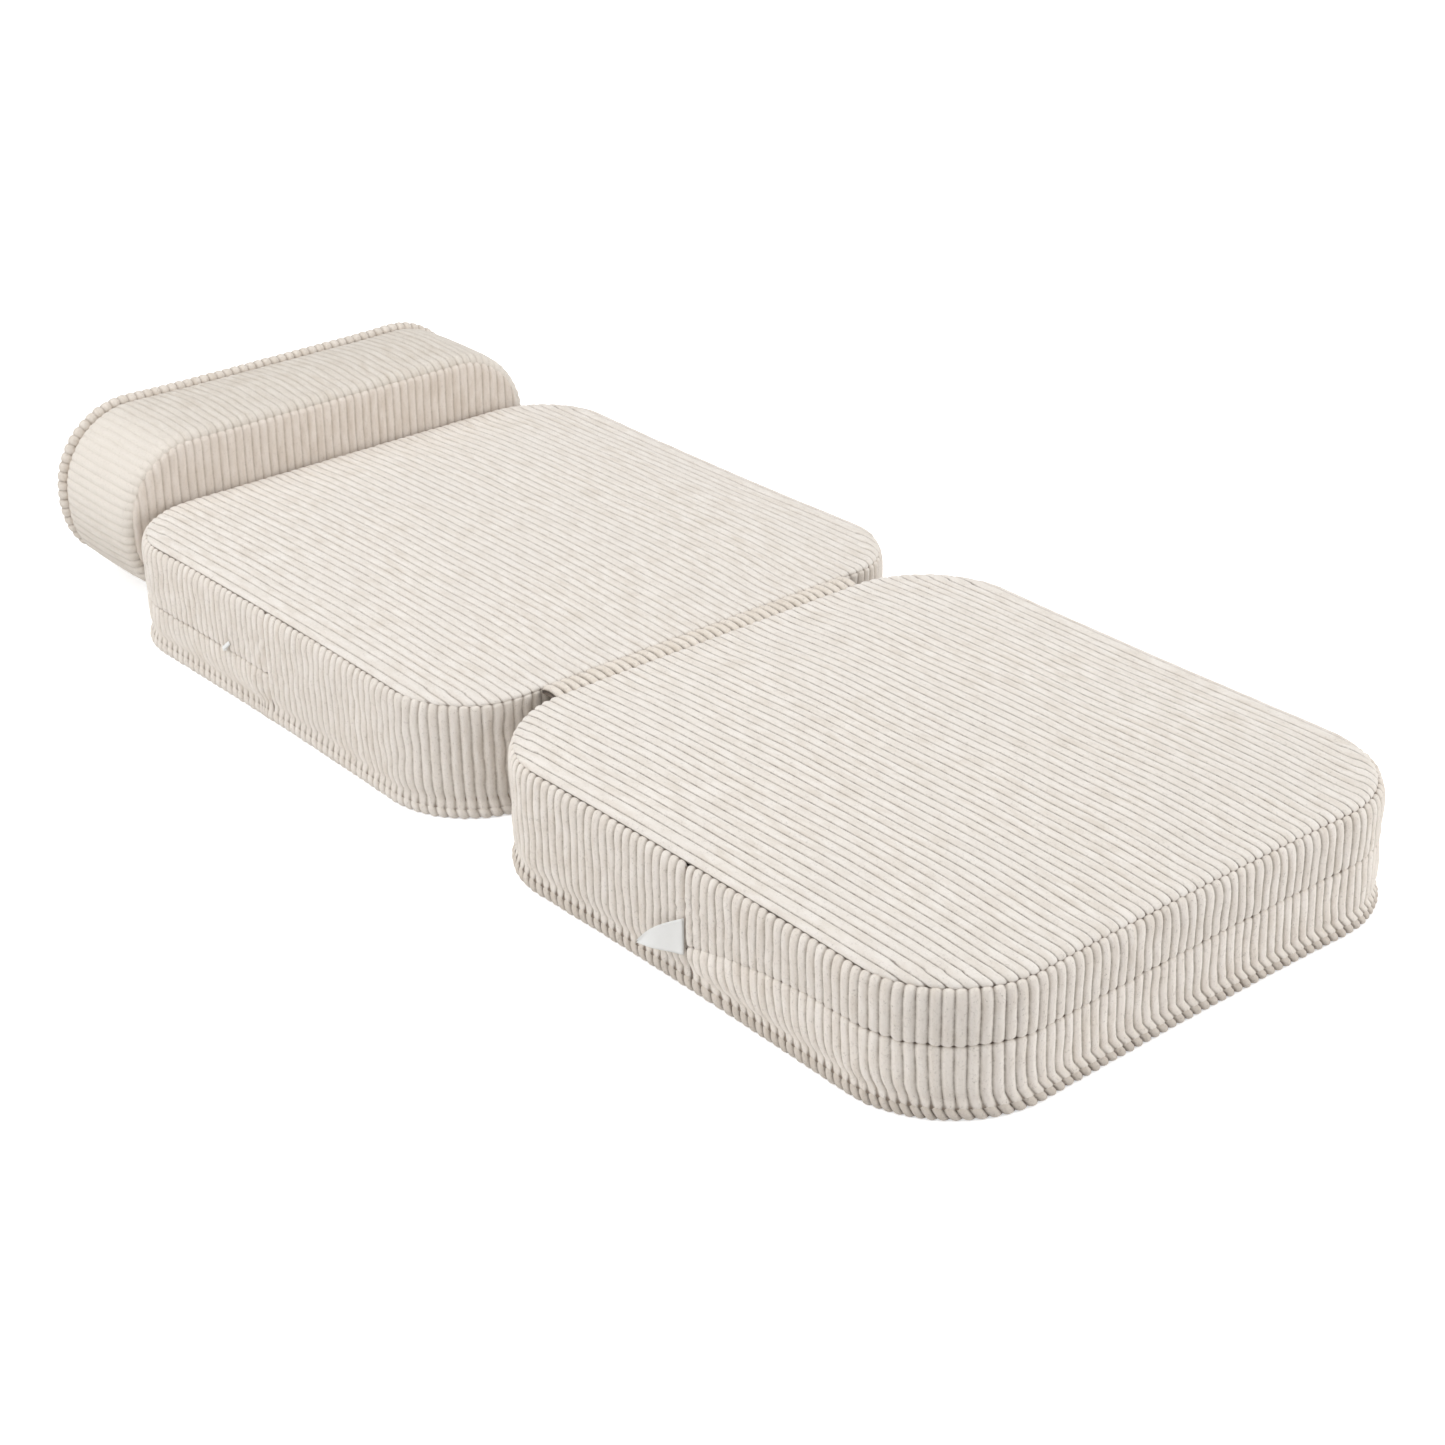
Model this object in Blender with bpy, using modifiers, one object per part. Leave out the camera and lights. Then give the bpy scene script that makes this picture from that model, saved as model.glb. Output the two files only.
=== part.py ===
"""Kids' flip open sofa, lying open as a lounger.

A front pad, a middle pad and a bolster lie in a row along Y, the front pad towards -Y.
Each is a foam block in its own zipped corduroy cover. A cloth strip at the top edges
joins the two pads, so the middle pad flips over onto the front one. A second strip at
the floor joins the middle pad and the bolster, which then turns up as a backrest.

Metres, +Z up, X across the sofa, floor at Z = 0, origin under the middle of the whole.
"""

import math
from typing import Callable, NamedTuple

import bmesh
import bpy
from mathutils import Vector

# Cover cloth and making allowances
SKIN = 0.0030
FIT = 0.0003
SEAM_GAP = 0.0006
PINCH = 0.0030
SWELL_POWER = 0.7

# Pads
PAD_WIDTH = 0.600
PAD_LENGTH = 0.635
PAD_EDGE_HEIGHT = 0.124
PAD_CROWN = 0.006
FRONT_CORNER_RADIUS = 0.110
MIDDLE_CORNER_RADIUS = 0.096
SIDE_DRAW = 0.0025

# Round of a pad's top edge: the side band rolls over the shoulder, the top panel over the hinge end
SHOULDER = 0.022
SHOULDER_DROP = 0.024
HINGE_SHOULDER = 0.009
HINGE_DROP = 0.005
SEAM_ROOM = 0.0022
BAND_SHARES = ((0.0, 1.0), (0.028, 0.55), (0.10, 0.32), (0.23, 0.17), (0.445, 0.125))
HINGE_BAND_SHARES = ((0.0, 4.8), (0.0, 3.6), (0.0, 2.6), (0.0, 1.7), (0.333, 1.04))
TOP_SHARES = ((0.475, 0.115), (0.57, 0.03), (0.70, 0.012), (0.85, 0.003), (1.0, 0.0))
HINGE_TOP_SHARES = ((0.333, 0.96), (0.0, 0.52), (0.12, 0.24), (0.42, 0.07), (1.0, 0.0))

# Zip in the side band
FRONT_ZIP_HEIGHT = 0.069
MIDDLE_ZIP_HEIGHT = 0.052
LABEL_SAG = 0.029
LABEL_SAG_RUN = 0.210
ZIP_CHAIN_WIDTH = 0.0050
ZIP_CHAIN_DEPTH = 0.0020
FRONT_ZIP_START = 0.316
MIDDLE_ZIP_START = 0.328
SLIDER_PLACE = 0.410
SLIDER_LENGTH = 0.009
SLIDER_PROUD = 0.0010
SLIDER_ROUND = 0.0008

# Pull loop on the slider
LOOP_LENGTH = 0.020
LOOP_DEPTH = 0.0030
LOOP_WIDTH = 0.0045
LOOP_CLOTH = 0.0006
LOOP_TILT = math.radians(38)

# Label in the front pad's band seam
LABEL_LENGTH = 0.034
LABEL_WIDTH = 0.031
LABEL_TIP_SHARE = 0.2
LABEL_CLOTH = 0.0008
LABEL_HEIGHT = 0.0525
LABEL_DROOP = 0.0175
LABEL_STAND = 0.018

# Piped edge round the underside of a pad
WELT_RADIUS = 0.0060
WELT_INSET = 0.0020
WELT_LIFT = 0.0005
WELT_START_SHARE = 0.5
WELT_END_GAP = 0.002
FOOT_INSET = 0.0100
FOOT_HEIGHT = 0.0160
FOOT_EASE = 0.0080

# Bolster
BOLSTER_WIDTH = 0.540
BOLSTER_HEIGHT = 0.197
BOLSTER_DEPTH = 0.157
BOLSTER_CORNER_RADIUS = 0.092
FRONT_ROLL = 0.009
FRONT_ROUND = 0.017
FRONT_DIP = 0.004
FRONT_EASE = 0.020
FRONT_CROWN_SHARE = 0.1
GUSSET_SIDE_SHARES = (0.12, 0.5)
GUSSET_ROLL_SHARES = ((0.14, 0.5), (0.45, 0.22))
FRONT_EASE_SHARES = ((0.3, 0.35), (1.0, FRONT_CROWN_SHARE))
BACK_WELT_RADIUS = 0.0075
BACK_WELT_INSET = 0.0055
BACK_CORE_INSET = 0.0115
BOLSTER_ZIP_LENGTH = 0.300

# Cloth hinges
FOLD_GAP = 0.025
STRIP_CLOTH = 0.0022
STRIP_SAG = 0.0015
STRIP_LAP = 0.012

# How finely the soft forms are divided
CORNER_STEPS = 6
FADE_STEPS = 4
LONG_STEPS = 6
END_STEPS = 4
BAND_STEPS = 4
TALL_BAND_STEPS = 6
CROWN_SHARES = (0.86, 0.66, 0.42, 0.18)
CROWN_POWER = 3
CUT_OVERRUN = 0.002

# Places worked out from the sizes above
WELT_REACH = WELT_RADIUS - WELT_INSET
WELT_INNER = WELT_RADIUS + WELT_INSET
WELT_HEIGHT = WELT_LIFT + WELT_RADIUS
CORE_INSET = PINCH + SKIN + FIT
OVERALL_LENGTH = WELT_REACH + PAD_LENGTH + FOLD_GAP + PAD_LENGTH + FIT + BOLSTER_DEPTH
FRONT_PAD_Y = WELT_REACH + PAD_LENGTH / 2 - OVERALL_LENGTH / 2
MIDDLE_PAD_Y = FRONT_PAD_Y + PAD_LENGTH + FOLD_GAP
BOLSTER_FRONT_Y = MIDDLE_PAD_Y + PAD_LENGTH / 2 + FIT
FOLD_AXIS = Vector((0, FRONT_PAD_Y + PAD_LENGTH / 2 + FOLD_GAP / 2, PAD_EDGE_HEIGHT + PAD_CROWN + WELT_LIFT))
BACK_AXIS = Vector((0, BOLSTER_FRONT_Y - FIT / 2, -WELT_LIFT))


class Station(NamedTuple):
    """A point of a plan outline, its outward direction, and how far it belongs to each end."""

    place: Vector
    outward: Vector
    hinge: float
    free: float


class Pad(NamedTuple):
    """What tells one pad from the other."""

    name: str
    axis: Vector
    parent: bpy.types.Object
    middle_y: float
    turn: float
    stations: list
    zip_start: float
    zip_height: float
    label_sag: float
    joins_bolster: bool


def mix(low: float, high: float, share: float) -> float:
    """Value part of the way from low to high."""
    return low + (high - low) * share


def fade(steps_away: int) -> float:
    """How far a corner station still belongs to the end it is near."""
    return max(0.0, 1.0 - steps_away / FADE_STEPS)


def between(first: Station, second: Station, share: float) -> Station:
    """Station part of the way from one to the next."""
    return Station(
        first.place.lerp(second.place, share),
        first.outward.lerp(second.outward, share).normalized(),
        mix(first.hinge, second.hinge, share),
        mix(first.free, second.free, share),
    )


def straight_run(start: Vector, end: Vector, draw: float, steps: int, hinge: float, free: float) -> list:
    """Stations of a straight side that draws in between its corners, without its last point."""
    along = (end - start).normalized()
    outward = Vector((along.y, -along.x))
    run = []
    for step in range(steps):
        share = step / steps
        dip = draw * 4 * share * (1 - share)
        run.append(Station(start.lerp(end, share) - outward * dip, outward, hinge, free))
    return run


def corner_run(centre: Vector, radius: float, first_angle: float, hinges: list, frees: list) -> list:
    """Stations of a quarter round corner, anticlockwise, without its last point."""
    run = []
    for step in range(CORNER_STEPS):
        angle = first_angle + math.radians(90) * step / CORNER_STEPS
        outward = Vector((math.cos(angle), math.sin(angle)))
        run.append(Station(centre + outward * radius, outward, hinges[step], frees[step]))
    return run


def plan_outline(width: float, length: float, radius: float, side_draw: float, free_draw: float) -> list:
    """Closed outline of a rounded rectangle, anticlockwise from the middle of its hinge end at +Y."""
    half_width = width / 2
    half_length = length / 2
    inner_x = half_width - radius
    inner_y = half_length - radius
    near = [fade(step) for step in range(CORNER_STEPS)]
    far = [fade(CORNER_STEPS - step) for step in range(CORNER_STEPS)]
    none = [0.0] * CORNER_STEPS
    quarter = math.radians(90)
    half_end = END_STEPS // 2
    stations = straight_run(Vector((0, half_length)), Vector((-inner_x, half_length)), 0, half_end, 1, 0)
    stations += corner_run(Vector((-inner_x, inner_y)), radius, quarter, near, none)
    stations += straight_run(
        Vector((-half_width, inner_y)), Vector((-half_width, -inner_y)), side_draw, LONG_STEPS, 0, 0
    )
    stations += corner_run(Vector((-inner_x, -inner_y)), radius, 2 * quarter, none, far)
    stations += straight_run(
        Vector((-inner_x, -half_length)), Vector((inner_x, -half_length)), free_draw, END_STEPS, 0, 1
    )
    stations += corner_run(Vector((inner_x, -inner_y)), radius, 3 * quarter, none, near)
    stations += straight_run(
        Vector((half_width, -inner_y)), Vector((half_width, inner_y)), side_draw, LONG_STEPS, 0, 0
    )
    stations += corner_run(Vector((inner_x, inner_y)), radius, 0, far, none)
    stations += straight_run(Vector((inner_x, half_length)), Vector((0, half_length)), 0, half_end, 1, 0)
    return stations


def cut_run(stations: list, measure: Callable, limit: float) -> list:
    """Open run of the closed outline where a measure is over a limit, ended exactly on the limit."""
    count = len(stations)
    inside = [measure(station) > limit for station in stations]
    index = next(i for i in range(count) if inside[i] and not inside[i - 1])
    run = [crossing(stations[index - 1], stations[index], measure, limit)]
    while inside[index % count]:
        run.append(stations[index % count])
        index += 1
    run.append(crossing(stations[(index - 1) % count], stations[index % count], measure, limit))
    return run


def crossing(first: Station, second: Station, measure: Callable, limit: float) -> Station:
    """Station between two neighbours where the measure meets the limit."""
    share = (limit - measure(first)) / (measure(second) - measure(first))
    return between(first, second, share)


def place(station: Station, inset: float, height: float) -> Vector:
    """Point a given distance inside the outline, at a height."""
    flat = station.place - station.outward * inset
    return Vector((flat.x, flat.y, height))


def loft(rows: list, closed: bool) -> tuple:
    """Sheet through rows of points, facing out where the rows climb an anticlockwise outline."""
    sheet = bmesh.new()
    rings = [[sheet.verts.new(point) for point in row] for row in rows]
    for lower, upper in zip(rings, rings[1:]):
        for first in range(len(lower) if closed else len(lower) - 1):
            second = (first + 1) % len(lower)
            sheet.faces.new((lower[first], lower[second], upper[second], upper[first]))
    return sheet, rings


def close_with_fan(sheet: bmesh.types.BMesh, ring: list, tip: Vector) -> None:
    """Close a ring on one middle point, facing out when the ring runs anticlockwise about it."""
    middle = sheet.verts.new(tip)
    for first, vertex in enumerate(ring):
        sheet.faces.new((vertex, ring[(first + 1) % len(ring)], middle))


def crown_rows(edge: list, centre: Vector, rise: float) -> list:
    """Rings that climb from a top edge towards the middle of the crown."""
    rows = []
    for share in CROWN_SHARES:
        lift = rise * (1 - share**CROWN_POWER)
        rows.append([
            Vector((mix(centre.x, point.x, share), mix(centre.y, point.y, share), point.z + lift))
            for point in edge
        ])
    return rows


def band_rows(run: list, low: Callable, high: Callable, steps: int) -> list:
    """Rows of a side band from one seam to the next, swelling to the outline between them."""
    rows = []
    for step in range(steps + 1):
        share = step / steps
        pull = 1 - abs(math.sin(math.pi * share)) ** SWELL_POWER
        row = []
        for station in run:
            low_inset, low_height = low(station)
            high_inset, high_height = high(station)
            inset = mix(low_inset, high_inset, share) * pull
            row.append(place(station, inset, mix(low_height, high_height, share)))
        rows.append(row)
    return rows


def offset_profile(profile: list, distance: float) -> list:
    """Profile of (inset, height) points moved in by a distance, square to itself."""
    moved = []
    for index, (inset, height) in enumerate(profile):
        before = profile[max(index - 1, 0)]
        after = profile[min(index + 1, len(profile) - 1)]
        along = Vector((after[0] - before[0], after[1] - before[1])).normalized()
        moved.append((inset + along.y * distance, height - along.x * distance))
    return moved


def material(name: str, colour: tuple, roughness: float, metallic: float = 0.0) -> bpy.types.Material:
    """Principled material with a plain colour."""
    made = bpy.data.materials.new(name)
    made.use_nodes = True
    shader = made.node_tree.nodes["Principled BSDF"]
    shader.inputs["Base Color"].default_value = (*colour, 1)
    shader.inputs["Roughness"].default_value = roughness
    shader.inputs["Metallic"].default_value = metallic
    return made


def clear_scene() -> None:
    """Remove what the file starts with."""
    for thing in list(bpy.data.objects):
        bpy.data.objects.remove(thing, do_unlink=True)


def new_collection(name: str) -> bpy.types.Collection:
    """Collection linked to the scene."""
    made = bpy.data.collections.new(name)
    bpy.context.scene.collection.children.link(made)
    return made


clear_scene()
SOFA = new_collection("kids_flip_open_sofa")
CUTTERS = new_collection("cutters")
CORDUROY = material("corduroy", (0.76, 0.71, 0.63), 0.95)
EDGE_CORDUROY = material("corduroy_edge", (0.72, 0.66, 0.58), 0.95)
FOAM = material("foam", (0.87, 0.84, 0.70), 0.9)
ZIP_CLOTH = material("zip_chain", (0.78, 0.75, 0.69), 0.6)
SLIDER_METAL = material("slider", (0.70, 0.69, 0.66), 0.4, 0.6)
RIBBON = material("ribbon", (0.84, 0.84, 0.82), 0.55)


def new_axis(name: str, at: Vector, parent: bpy.types.Object = None) -> bpy.types.Object:
    """Empty at a body's joint axis, given in world coordinates."""
    empty = bpy.data.objects.new(name, None)
    SOFA.objects.link(empty)
    empty.parent = parent
    empty.location = at - (axis_place(parent) if parent else Vector((0, 0, 0)))
    return empty


def axis_place(empty: bpy.types.Object) -> Vector:
    """World place of an axis empty, followed up its parents."""
    if empty.parent is None:
        return empty.location.copy()
    return empty.location + axis_place(empty.parent)


def add_mesh(name: str, sheet: bmesh.types.BMesh, finish: bpy.types.Material) -> bpy.types.Object:
    """Mesh object from a finished bmesh, shaded smooth between its edges."""
    mesh = bpy.data.meshes.new(name)
    sheet.normal_update()
    sheet.to_mesh(mesh)
    sheet.free()
    mesh.materials.append(finish)
    mesh.shade_smooth()
    mesh.set_sharp_from_angle(angle=math.radians(40))
    made = bpy.data.objects.new(name, mesh)
    SOFA.objects.link(made)
    return made


def thicken(sheet_object: bpy.types.Object, thickness: float, side: float = -1) -> bpy.types.Object:
    """Give an open sheet its cloth thickness, on the inner side unless told otherwise."""
    wall = sheet_object.modifiers.new("cloth", "SOLIDIFY")
    wall.thickness = thickness
    wall.offset = side
    wall.use_even_offset = True
    return sheet_object


def add_tube(name: str, points: list, radius: float, closed: bool, finish: bpy.types.Material) -> bpy.types.Object:
    """Piping along a path, as a curve with a round section."""
    curve = bpy.data.curves.new(name, "CURVE")
    curve.dimensions = "3D"
    curve.bevel_depth = radius
    curve.bevel_resolution = 2
    curve.use_fill_caps = True
    curve.twist_mode = "Z_UP"
    spline = curve.splines.new("POLY")
    spline.points.add(len(points) - 1)
    spline.use_cyclic_u = closed
    for target, point in zip(spline.points, points):
        target.co = (*point, 1)
    curve.materials.append(finish)
    made = bpy.data.objects.new(name, curve)
    SOFA.objects.link(made)
    return made


def add_plate(name: str, outline: list, thickness: float, finish: bpy.types.Material) -> bpy.types.Object:
    """Flat sheet of an outline, its underside at Z = 0, as a filled 2D curve."""
    curve = bpy.data.curves.new(name, "CURVE")
    curve.dimensions = "2D"
    curve.fill_mode = "BOTH"
    curve.extrude = thickness / 2
    spline = curve.splines.new("POLY")
    spline.points.add(len(outline) - 1)
    spline.use_cyclic_u = True
    for target, point in zip(spline.points, outline):
        target.co = (point.x, point.y, 0, 1)
    curve.materials.append(finish)
    made = bpy.data.objects.new(name, curve)
    SOFA.objects.link(made)
    made.location.z = thickness / 2
    return made


def add_block(name: str, size: Vector, finish: bpy.types.Material) -> bpy.types.Object:
    """Box centred on its own origin."""
    box = bmesh.new()
    bmesh.ops.create_cube(box, size=1)
    bmesh.ops.scale(box, vec=size, verts=box.verts)
    return add_mesh(name, box, finish)


def round_edges(block: bpy.types.Object, width: float) -> bpy.types.Object:
    """Small round on every edge of a block."""
    bevel = block.modifiers.new("round", "BEVEL")
    bevel.width = width
    bevel.segments = 2
    return block


def seat(piece: bpy.types.Object, pad: Pad) -> bpy.types.Object:
    """Stand a piece that was modelled about its pad's middle in its place on the pad's body."""
    piece.parent = pad.parent
    piece.rotation_euler.z = pad.turn
    piece.location += Vector((0, pad.middle_y, 0)) - pad.axis
    return piece


def edge_point(station: Station, shares: tuple, hinge_shares: tuple) -> tuple:
    """Point on the round of a pad's top edge, passing from the sides' round to the hinge end's."""
    inset = mix(SHOULDER * shares[0], HINGE_SHOULDER * hinge_shares[0], station.hinge)
    drop = mix(SHOULDER_DROP * shares[1], HINGE_DROP * hinge_shares[1], station.hinge)
    return (inset, PAD_EDGE_HEIGHT - drop)


def band_profile(station: Station) -> list:
    """Profile of the side band from the top of its wall, over the shoulder, to the top seam."""
    return [edge_point(station, *pair) for pair in zip(BAND_SHARES, HINGE_BAND_SHARES)]


def top_profile(station: Station) -> list:
    """Profile of the top panel from its seam to the top edge."""
    return [edge_point(station, *pair) for pair in zip(TOP_SHARES, HINGE_TOP_SHARES)]


def wall_top(station: Station) -> tuple:
    """Top of the upright part of a side band."""
    return band_profile(station)[0]


def profile_rows(stations: list, profile_of: Callable) -> list:
    """Rows of points that follow each station's own profile."""
    profiles = [profile_of(station) for station in stations]
    return [
        [place(station, *profile[level]) for station, profile in zip(stations, profiles)]
        for level in range(len(profiles[0]))
    ]


def core_profile(station: Station) -> list:
    """Profile of a pad's foam, from the underside up to the top edge, clear of the cover."""
    cover = band_profile(station)[:-1] + top_profile(station)[1:]
    foot = [(FOOT_INSET, SKIN + FIT), (FOOT_INSET, FOOT_HEIGHT), (CORE_INSET, FOOT_HEIGHT + FOOT_EASE)]
    ceiling = PAD_EDGE_HEIGHT
    upper = []
    for inset, height in reversed(offset_profile(cover, SKIN + SEAM_ROOM + FIT)):
        ceiling = min(height, ceiling - FIT)
        upper.append((max(inset, CORE_INSET), ceiling))
    return foot + list(reversed(upper))


def add_foam_core(pad: Pad) -> bpy.types.Object:
    """Foam block, crowned on top and flat underneath."""
    centre = Vector((0, 0))
    rows = profile_rows(pad.stations, core_profile)
    rows += crown_rows(rows[-1], centre, PAD_CROWN)
    block, rings = loft(rows, closed=True)
    block.faces.new(reversed(rings[0]))
    close_with_fan(block, rings[-1], Vector((0, 0, rows[0][0].z + core_rise())))
    return seat(add_mesh(f"{pad.name}_foam_core", block, FOAM), pad)


def core_rise() -> float:
    """Height of a pad's foam at the middle of its crown."""
    return PAD_EDGE_HEIGHT + PAD_CROWN - 2 * (SKIN + FIT) - SEAM_ROOM


def add_top_panel(pad: Pad) -> bpy.types.Object:
    """Top of the cover, crowned, from its seam on the shoulder and round the hinge end."""
    rows = profile_rows(pad.stations, top_profile)
    rows += crown_rows(rows[-1], Vector((0, 0)), PAD_CROWN)
    sheet, rings = loft(rows, closed=True)
    close_with_fan(sheet, rings[-1], Vector((0, 0, PAD_EDGE_HEIGHT + PAD_CROWN)))
    return seat(thicken(add_mesh(f"{pad.name}_top_panel", sheet, CORDUROY), SKIN), pad)


def add_bottom_panel(pad: Pad) -> bpy.types.Object:
    """Underside of the cover, flat on the floor, stopping short of the back hinge strip."""
    outline = [place(station, WELT_INNER + FIT, 0) for station in pad.stations]
    if pad.joins_bolster:
        edge = STRIP_LAP + FIT - PAD_LENGTH / 2
        for point in outline:
            point.y = max(point.y, edge)
    return seat(add_plate(f"{pad.name}_bottom_panel", outline, SKIN, CORDUROY), pad)


def hem(pad: Pad) -> Callable:
    """Lower edge of the side bands: on the piped edge, or by the floor over the back hinge strip."""
    reach = (WELT_RADIUS + FIT) * math.sin(math.radians(45))

    def edge(station: Station) -> tuple:
        if pad.joins_bolster and station.free > WELT_START_SHARE:
            return (reach + WELT_INSET, SKIN + FIT)
        return (reach + WELT_INSET, WELT_HEIGHT + reach)

    return edge


def zip_level(pad: Pad, station: Station) -> float:
    """Height of the zip, which sags towards the label on the left side."""
    away = PAD_LENGTH / 2 - pad.zip_start - station.place.y
    sag = pad.label_sag * max(0, 1 - away / LABEL_SAG_RUN) ** 2 if station.place.x < 0 else 0
    return pad.zip_height - sag


def zip_edge(pad: Pad, side: int) -> Callable:
    """Edge of a band along the zip: side 1 is the upper band's, side -1 the lower band's."""
    return lambda station: (PINCH, zip_level(pad, station) + side * (ZIP_CHAIN_WIDTH / 2 + FIT))


def zip_run(pad: Pad, short: float) -> list:
    """Stations from one end of the zip round the free end to the other, less a shortening."""
    limit = pad.zip_start - PAD_LENGTH / 2 + SEAM_GAP / 2 + short
    return cut_run(pad.stations, lambda station: -station.place.y, limit)


def add_hinge_band(pad: Pad) -> bpy.types.Object:
    """One-piece side band round the hinge end, between the two ends of the zip."""
    limit = PAD_LENGTH / 2 - pad.zip_start + SEAM_GAP / 2
    run = cut_run(pad.stations, lambda station: station.place.y, limit)
    rows = band_rows(run, hem(pad), wall_top, TALL_BAND_STEPS)[:-1] + profile_rows(run, band_profile)
    sheet, _ = loft(rows, closed=False)
    return seat(thicken(add_mesh(f"{pad.name}_hinge_band", sheet, CORDUROY), SKIN), pad)


def add_upper_band(pad: Pad) -> bpy.types.Object:
    """Side band above the zip, round the free end and over the shoulder."""
    run = zip_run(pad, 0)
    rows = band_rows(run, zip_edge(pad, 1), wall_top, BAND_STEPS)[:-1] + profile_rows(run, band_profile)
    sheet, _ = loft(rows, closed=False)
    return seat(thicken(add_mesh(f"{pad.name}_upper_band", sheet, CORDUROY), SKIN), pad)


def add_lower_band(pad: Pad) -> bpy.types.Object:
    """Side band below the zip, round the free end."""
    rows = band_rows(zip_run(pad, 0), hem(pad), zip_edge(pad, -1), BAND_STEPS)
    sheet, _ = loft(rows, closed=False)
    return seat(thicken(add_mesh(f"{pad.name}_lower_band", sheet, CORDUROY), SKIN), pad)


def add_zip_chain(pad: Pad) -> bpy.types.Object:
    """Zip chain in the slot between the two bands, against the foam."""
    run = zip_run(pad, FIT)
    inset = PINCH + SKIN - ZIP_CHAIN_DEPTH
    half = ZIP_CHAIN_WIDTH / 2
    rows = [
        [place(station, inset, zip_level(pad, station) + side * half) for station in run] for side in (-1, 1)
    ]
    sheet, _ = loft(rows, closed=False)
    return seat(thicken(add_mesh(f"{pad.name}_zip_chain", sheet, ZIP_CLOTH), ZIP_CHAIN_DEPTH), pad)


def slider_station(pad: Pad) -> Station:
    """Where the slider is parked, on the +X side of a pad in its own frame."""
    return cut_run(pad.stations, lambda station: -station.place.y, SLIDER_PLACE - PAD_LENGTH / 2)[-1]


def add_zip_slider(pad: Pad) -> bpy.types.Object:
    """Slider on the zip chain, standing a little out of the slot."""
    station = slider_station(pad)
    inner = PINCH + SKIN - ZIP_CHAIN_DEPTH - FIT
    depth = inner + SLIDER_PROUD
    slider = add_block(f"{pad.name}_zip_slider", Vector((depth, SLIDER_LENGTH, ZIP_CHAIN_WIDTH)), SLIDER_METAL)
    centre = place(station, inner - depth / 2, zip_level(pad, station))
    spin = -1 if pad.turn else 1
    slider.location = Vector((centre.x * spin, centre.y * spin, centre.z))
    return seat(round_edges(slider, SLIDER_ROUND), pad)


def loop_ring() -> list:
    """Flattened ring of the pull loop seen along its width, its run along X, anticlockwise."""
    half_run = (LOOP_LENGTH - LOOP_DEPTH) / 2
    ring = []
    for end in (1, -1):
        for step in range(CORNER_STEPS + 1):
            angle = math.radians(180) * step / CORNER_STEPS - math.radians(90)
            turned = Vector((math.cos(angle), math.sin(angle))) * LOOP_DEPTH / 2 * end
            ring.append(turned + Vector((half_run * end, 0)))
    return ring


def add_pull_loop(pad: Pad) -> bpy.types.Object:
    """Folded ribbon loop that hangs from the slider, across the wall of the pad."""
    station = slider_station(pad)
    start = place(station, -(SLIDER_PROUD + FIT + LOOP_DEPTH / 2), zip_level(pad, station))
    rows = []
    for side in (-1, 1):
        across = side * LOOP_WIDTH / 2
        row = []
        for point in loop_ring():
            run = point.x + LOOP_LENGTH / 2
            row.append(Vector((
                start.x - point.y,
                start.y + run * math.cos(LOOP_TILT) - across * math.sin(LOOP_TILT),
                start.z + run * math.sin(LOOP_TILT) + across * math.cos(LOOP_TILT),
            )))
        rows.append(row)
    sheet, _ = loft(rows, closed=True)
    return seat(thicken(add_mesh(f"{pad.name}_pull_loop", sheet, RIBBON), LOOP_CLOTH), pad)


def add_bottom_welt(pad: Pad) -> bpy.types.Object:
    """Piped edge round the underside, left out where the back hinge strip is sewn on."""
    stations = pad.stations
    if pad.joins_bolster:
        step_length = math.radians(90) * MIDDLE_CORNER_RADIUS / CORNER_STEPS
        start = 1 - WELT_START_SHARE + WELT_END_GAP / step_length / FADE_STEPS
        stations = cut_run(stations, lambda station: 1 - station.free, start)
    path = [place(station, WELT_INSET, WELT_HEIGHT) for station in stations]
    name = f"{pad.name}_bottom_welt"
    return seat(add_tube(name, path, WELT_RADIUS, not pad.joins_bolster, EDGE_CORDUROY), pad)


def add_label(pad: Pad) -> bpy.types.Object:
    """Blank ribbon label sewn into the band seam on the left side, narrowing and drooping to its tip."""
    root = zip_run(pad, 0)[0]
    rows = []
    for side in (-1, 0, 1):
        row = []
        for step in range(END_STEPS + 1):
            share = step / END_STEPS
            width = LABEL_WIDTH * mix(1, LABEL_TIP_SHARE, share)
            stand = FIT + LABEL_CLOTH + LABEL_STAND * share * share
            point = place(root, -stand, LABEL_HEIGHT + side * width / 2 - LABEL_DROOP * share)
            point.y += LABEL_LENGTH * share
            row.append(point)
        rows.append(row)
    sheet, _ = loft(rows, closed=False)
    bmesh.ops.reverse_faces(sheet, faces=sheet.faces)
    return seat(thicken(add_mesh(f"{pad.name}_label", sheet, RIBBON), LABEL_CLOTH), pad)


def add_pad(pad: Pad) -> None:
    """All the pieces of one pad."""
    add_foam_core(pad)
    add_top_panel(pad)
    add_bottom_panel(pad)
    add_hinge_band(pad)
    add_upper_band(pad)
    add_lower_band(pad)
    add_zip_chain(pad)
    add_zip_slider(pad)
    add_pull_loop(pad)
    add_bottom_welt(pad)


def stand_up(piece: bpy.types.Object, axis: bpy.types.Object) -> bpy.types.Object:
    """Stand a piece of the bolster, modelled lying on its back, on its lower edge."""
    piece.parent = axis
    piece.rotation_euler.x = math.radians(90)
    piece.location = Vector((0, BOLSTER_FRONT_Y + BOLSTER_DEPTH, BOLSTER_HEIGHT / 2)) - BACK_AXIS
    return piece


def front_roll(station: Station) -> float:
    """How far inside the outline the bolster's front seam runs: just over the base where it is flat."""
    return SKIN + FIT + SEAM_GAP if station.free == 1 else FRONT_ROLL


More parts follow.
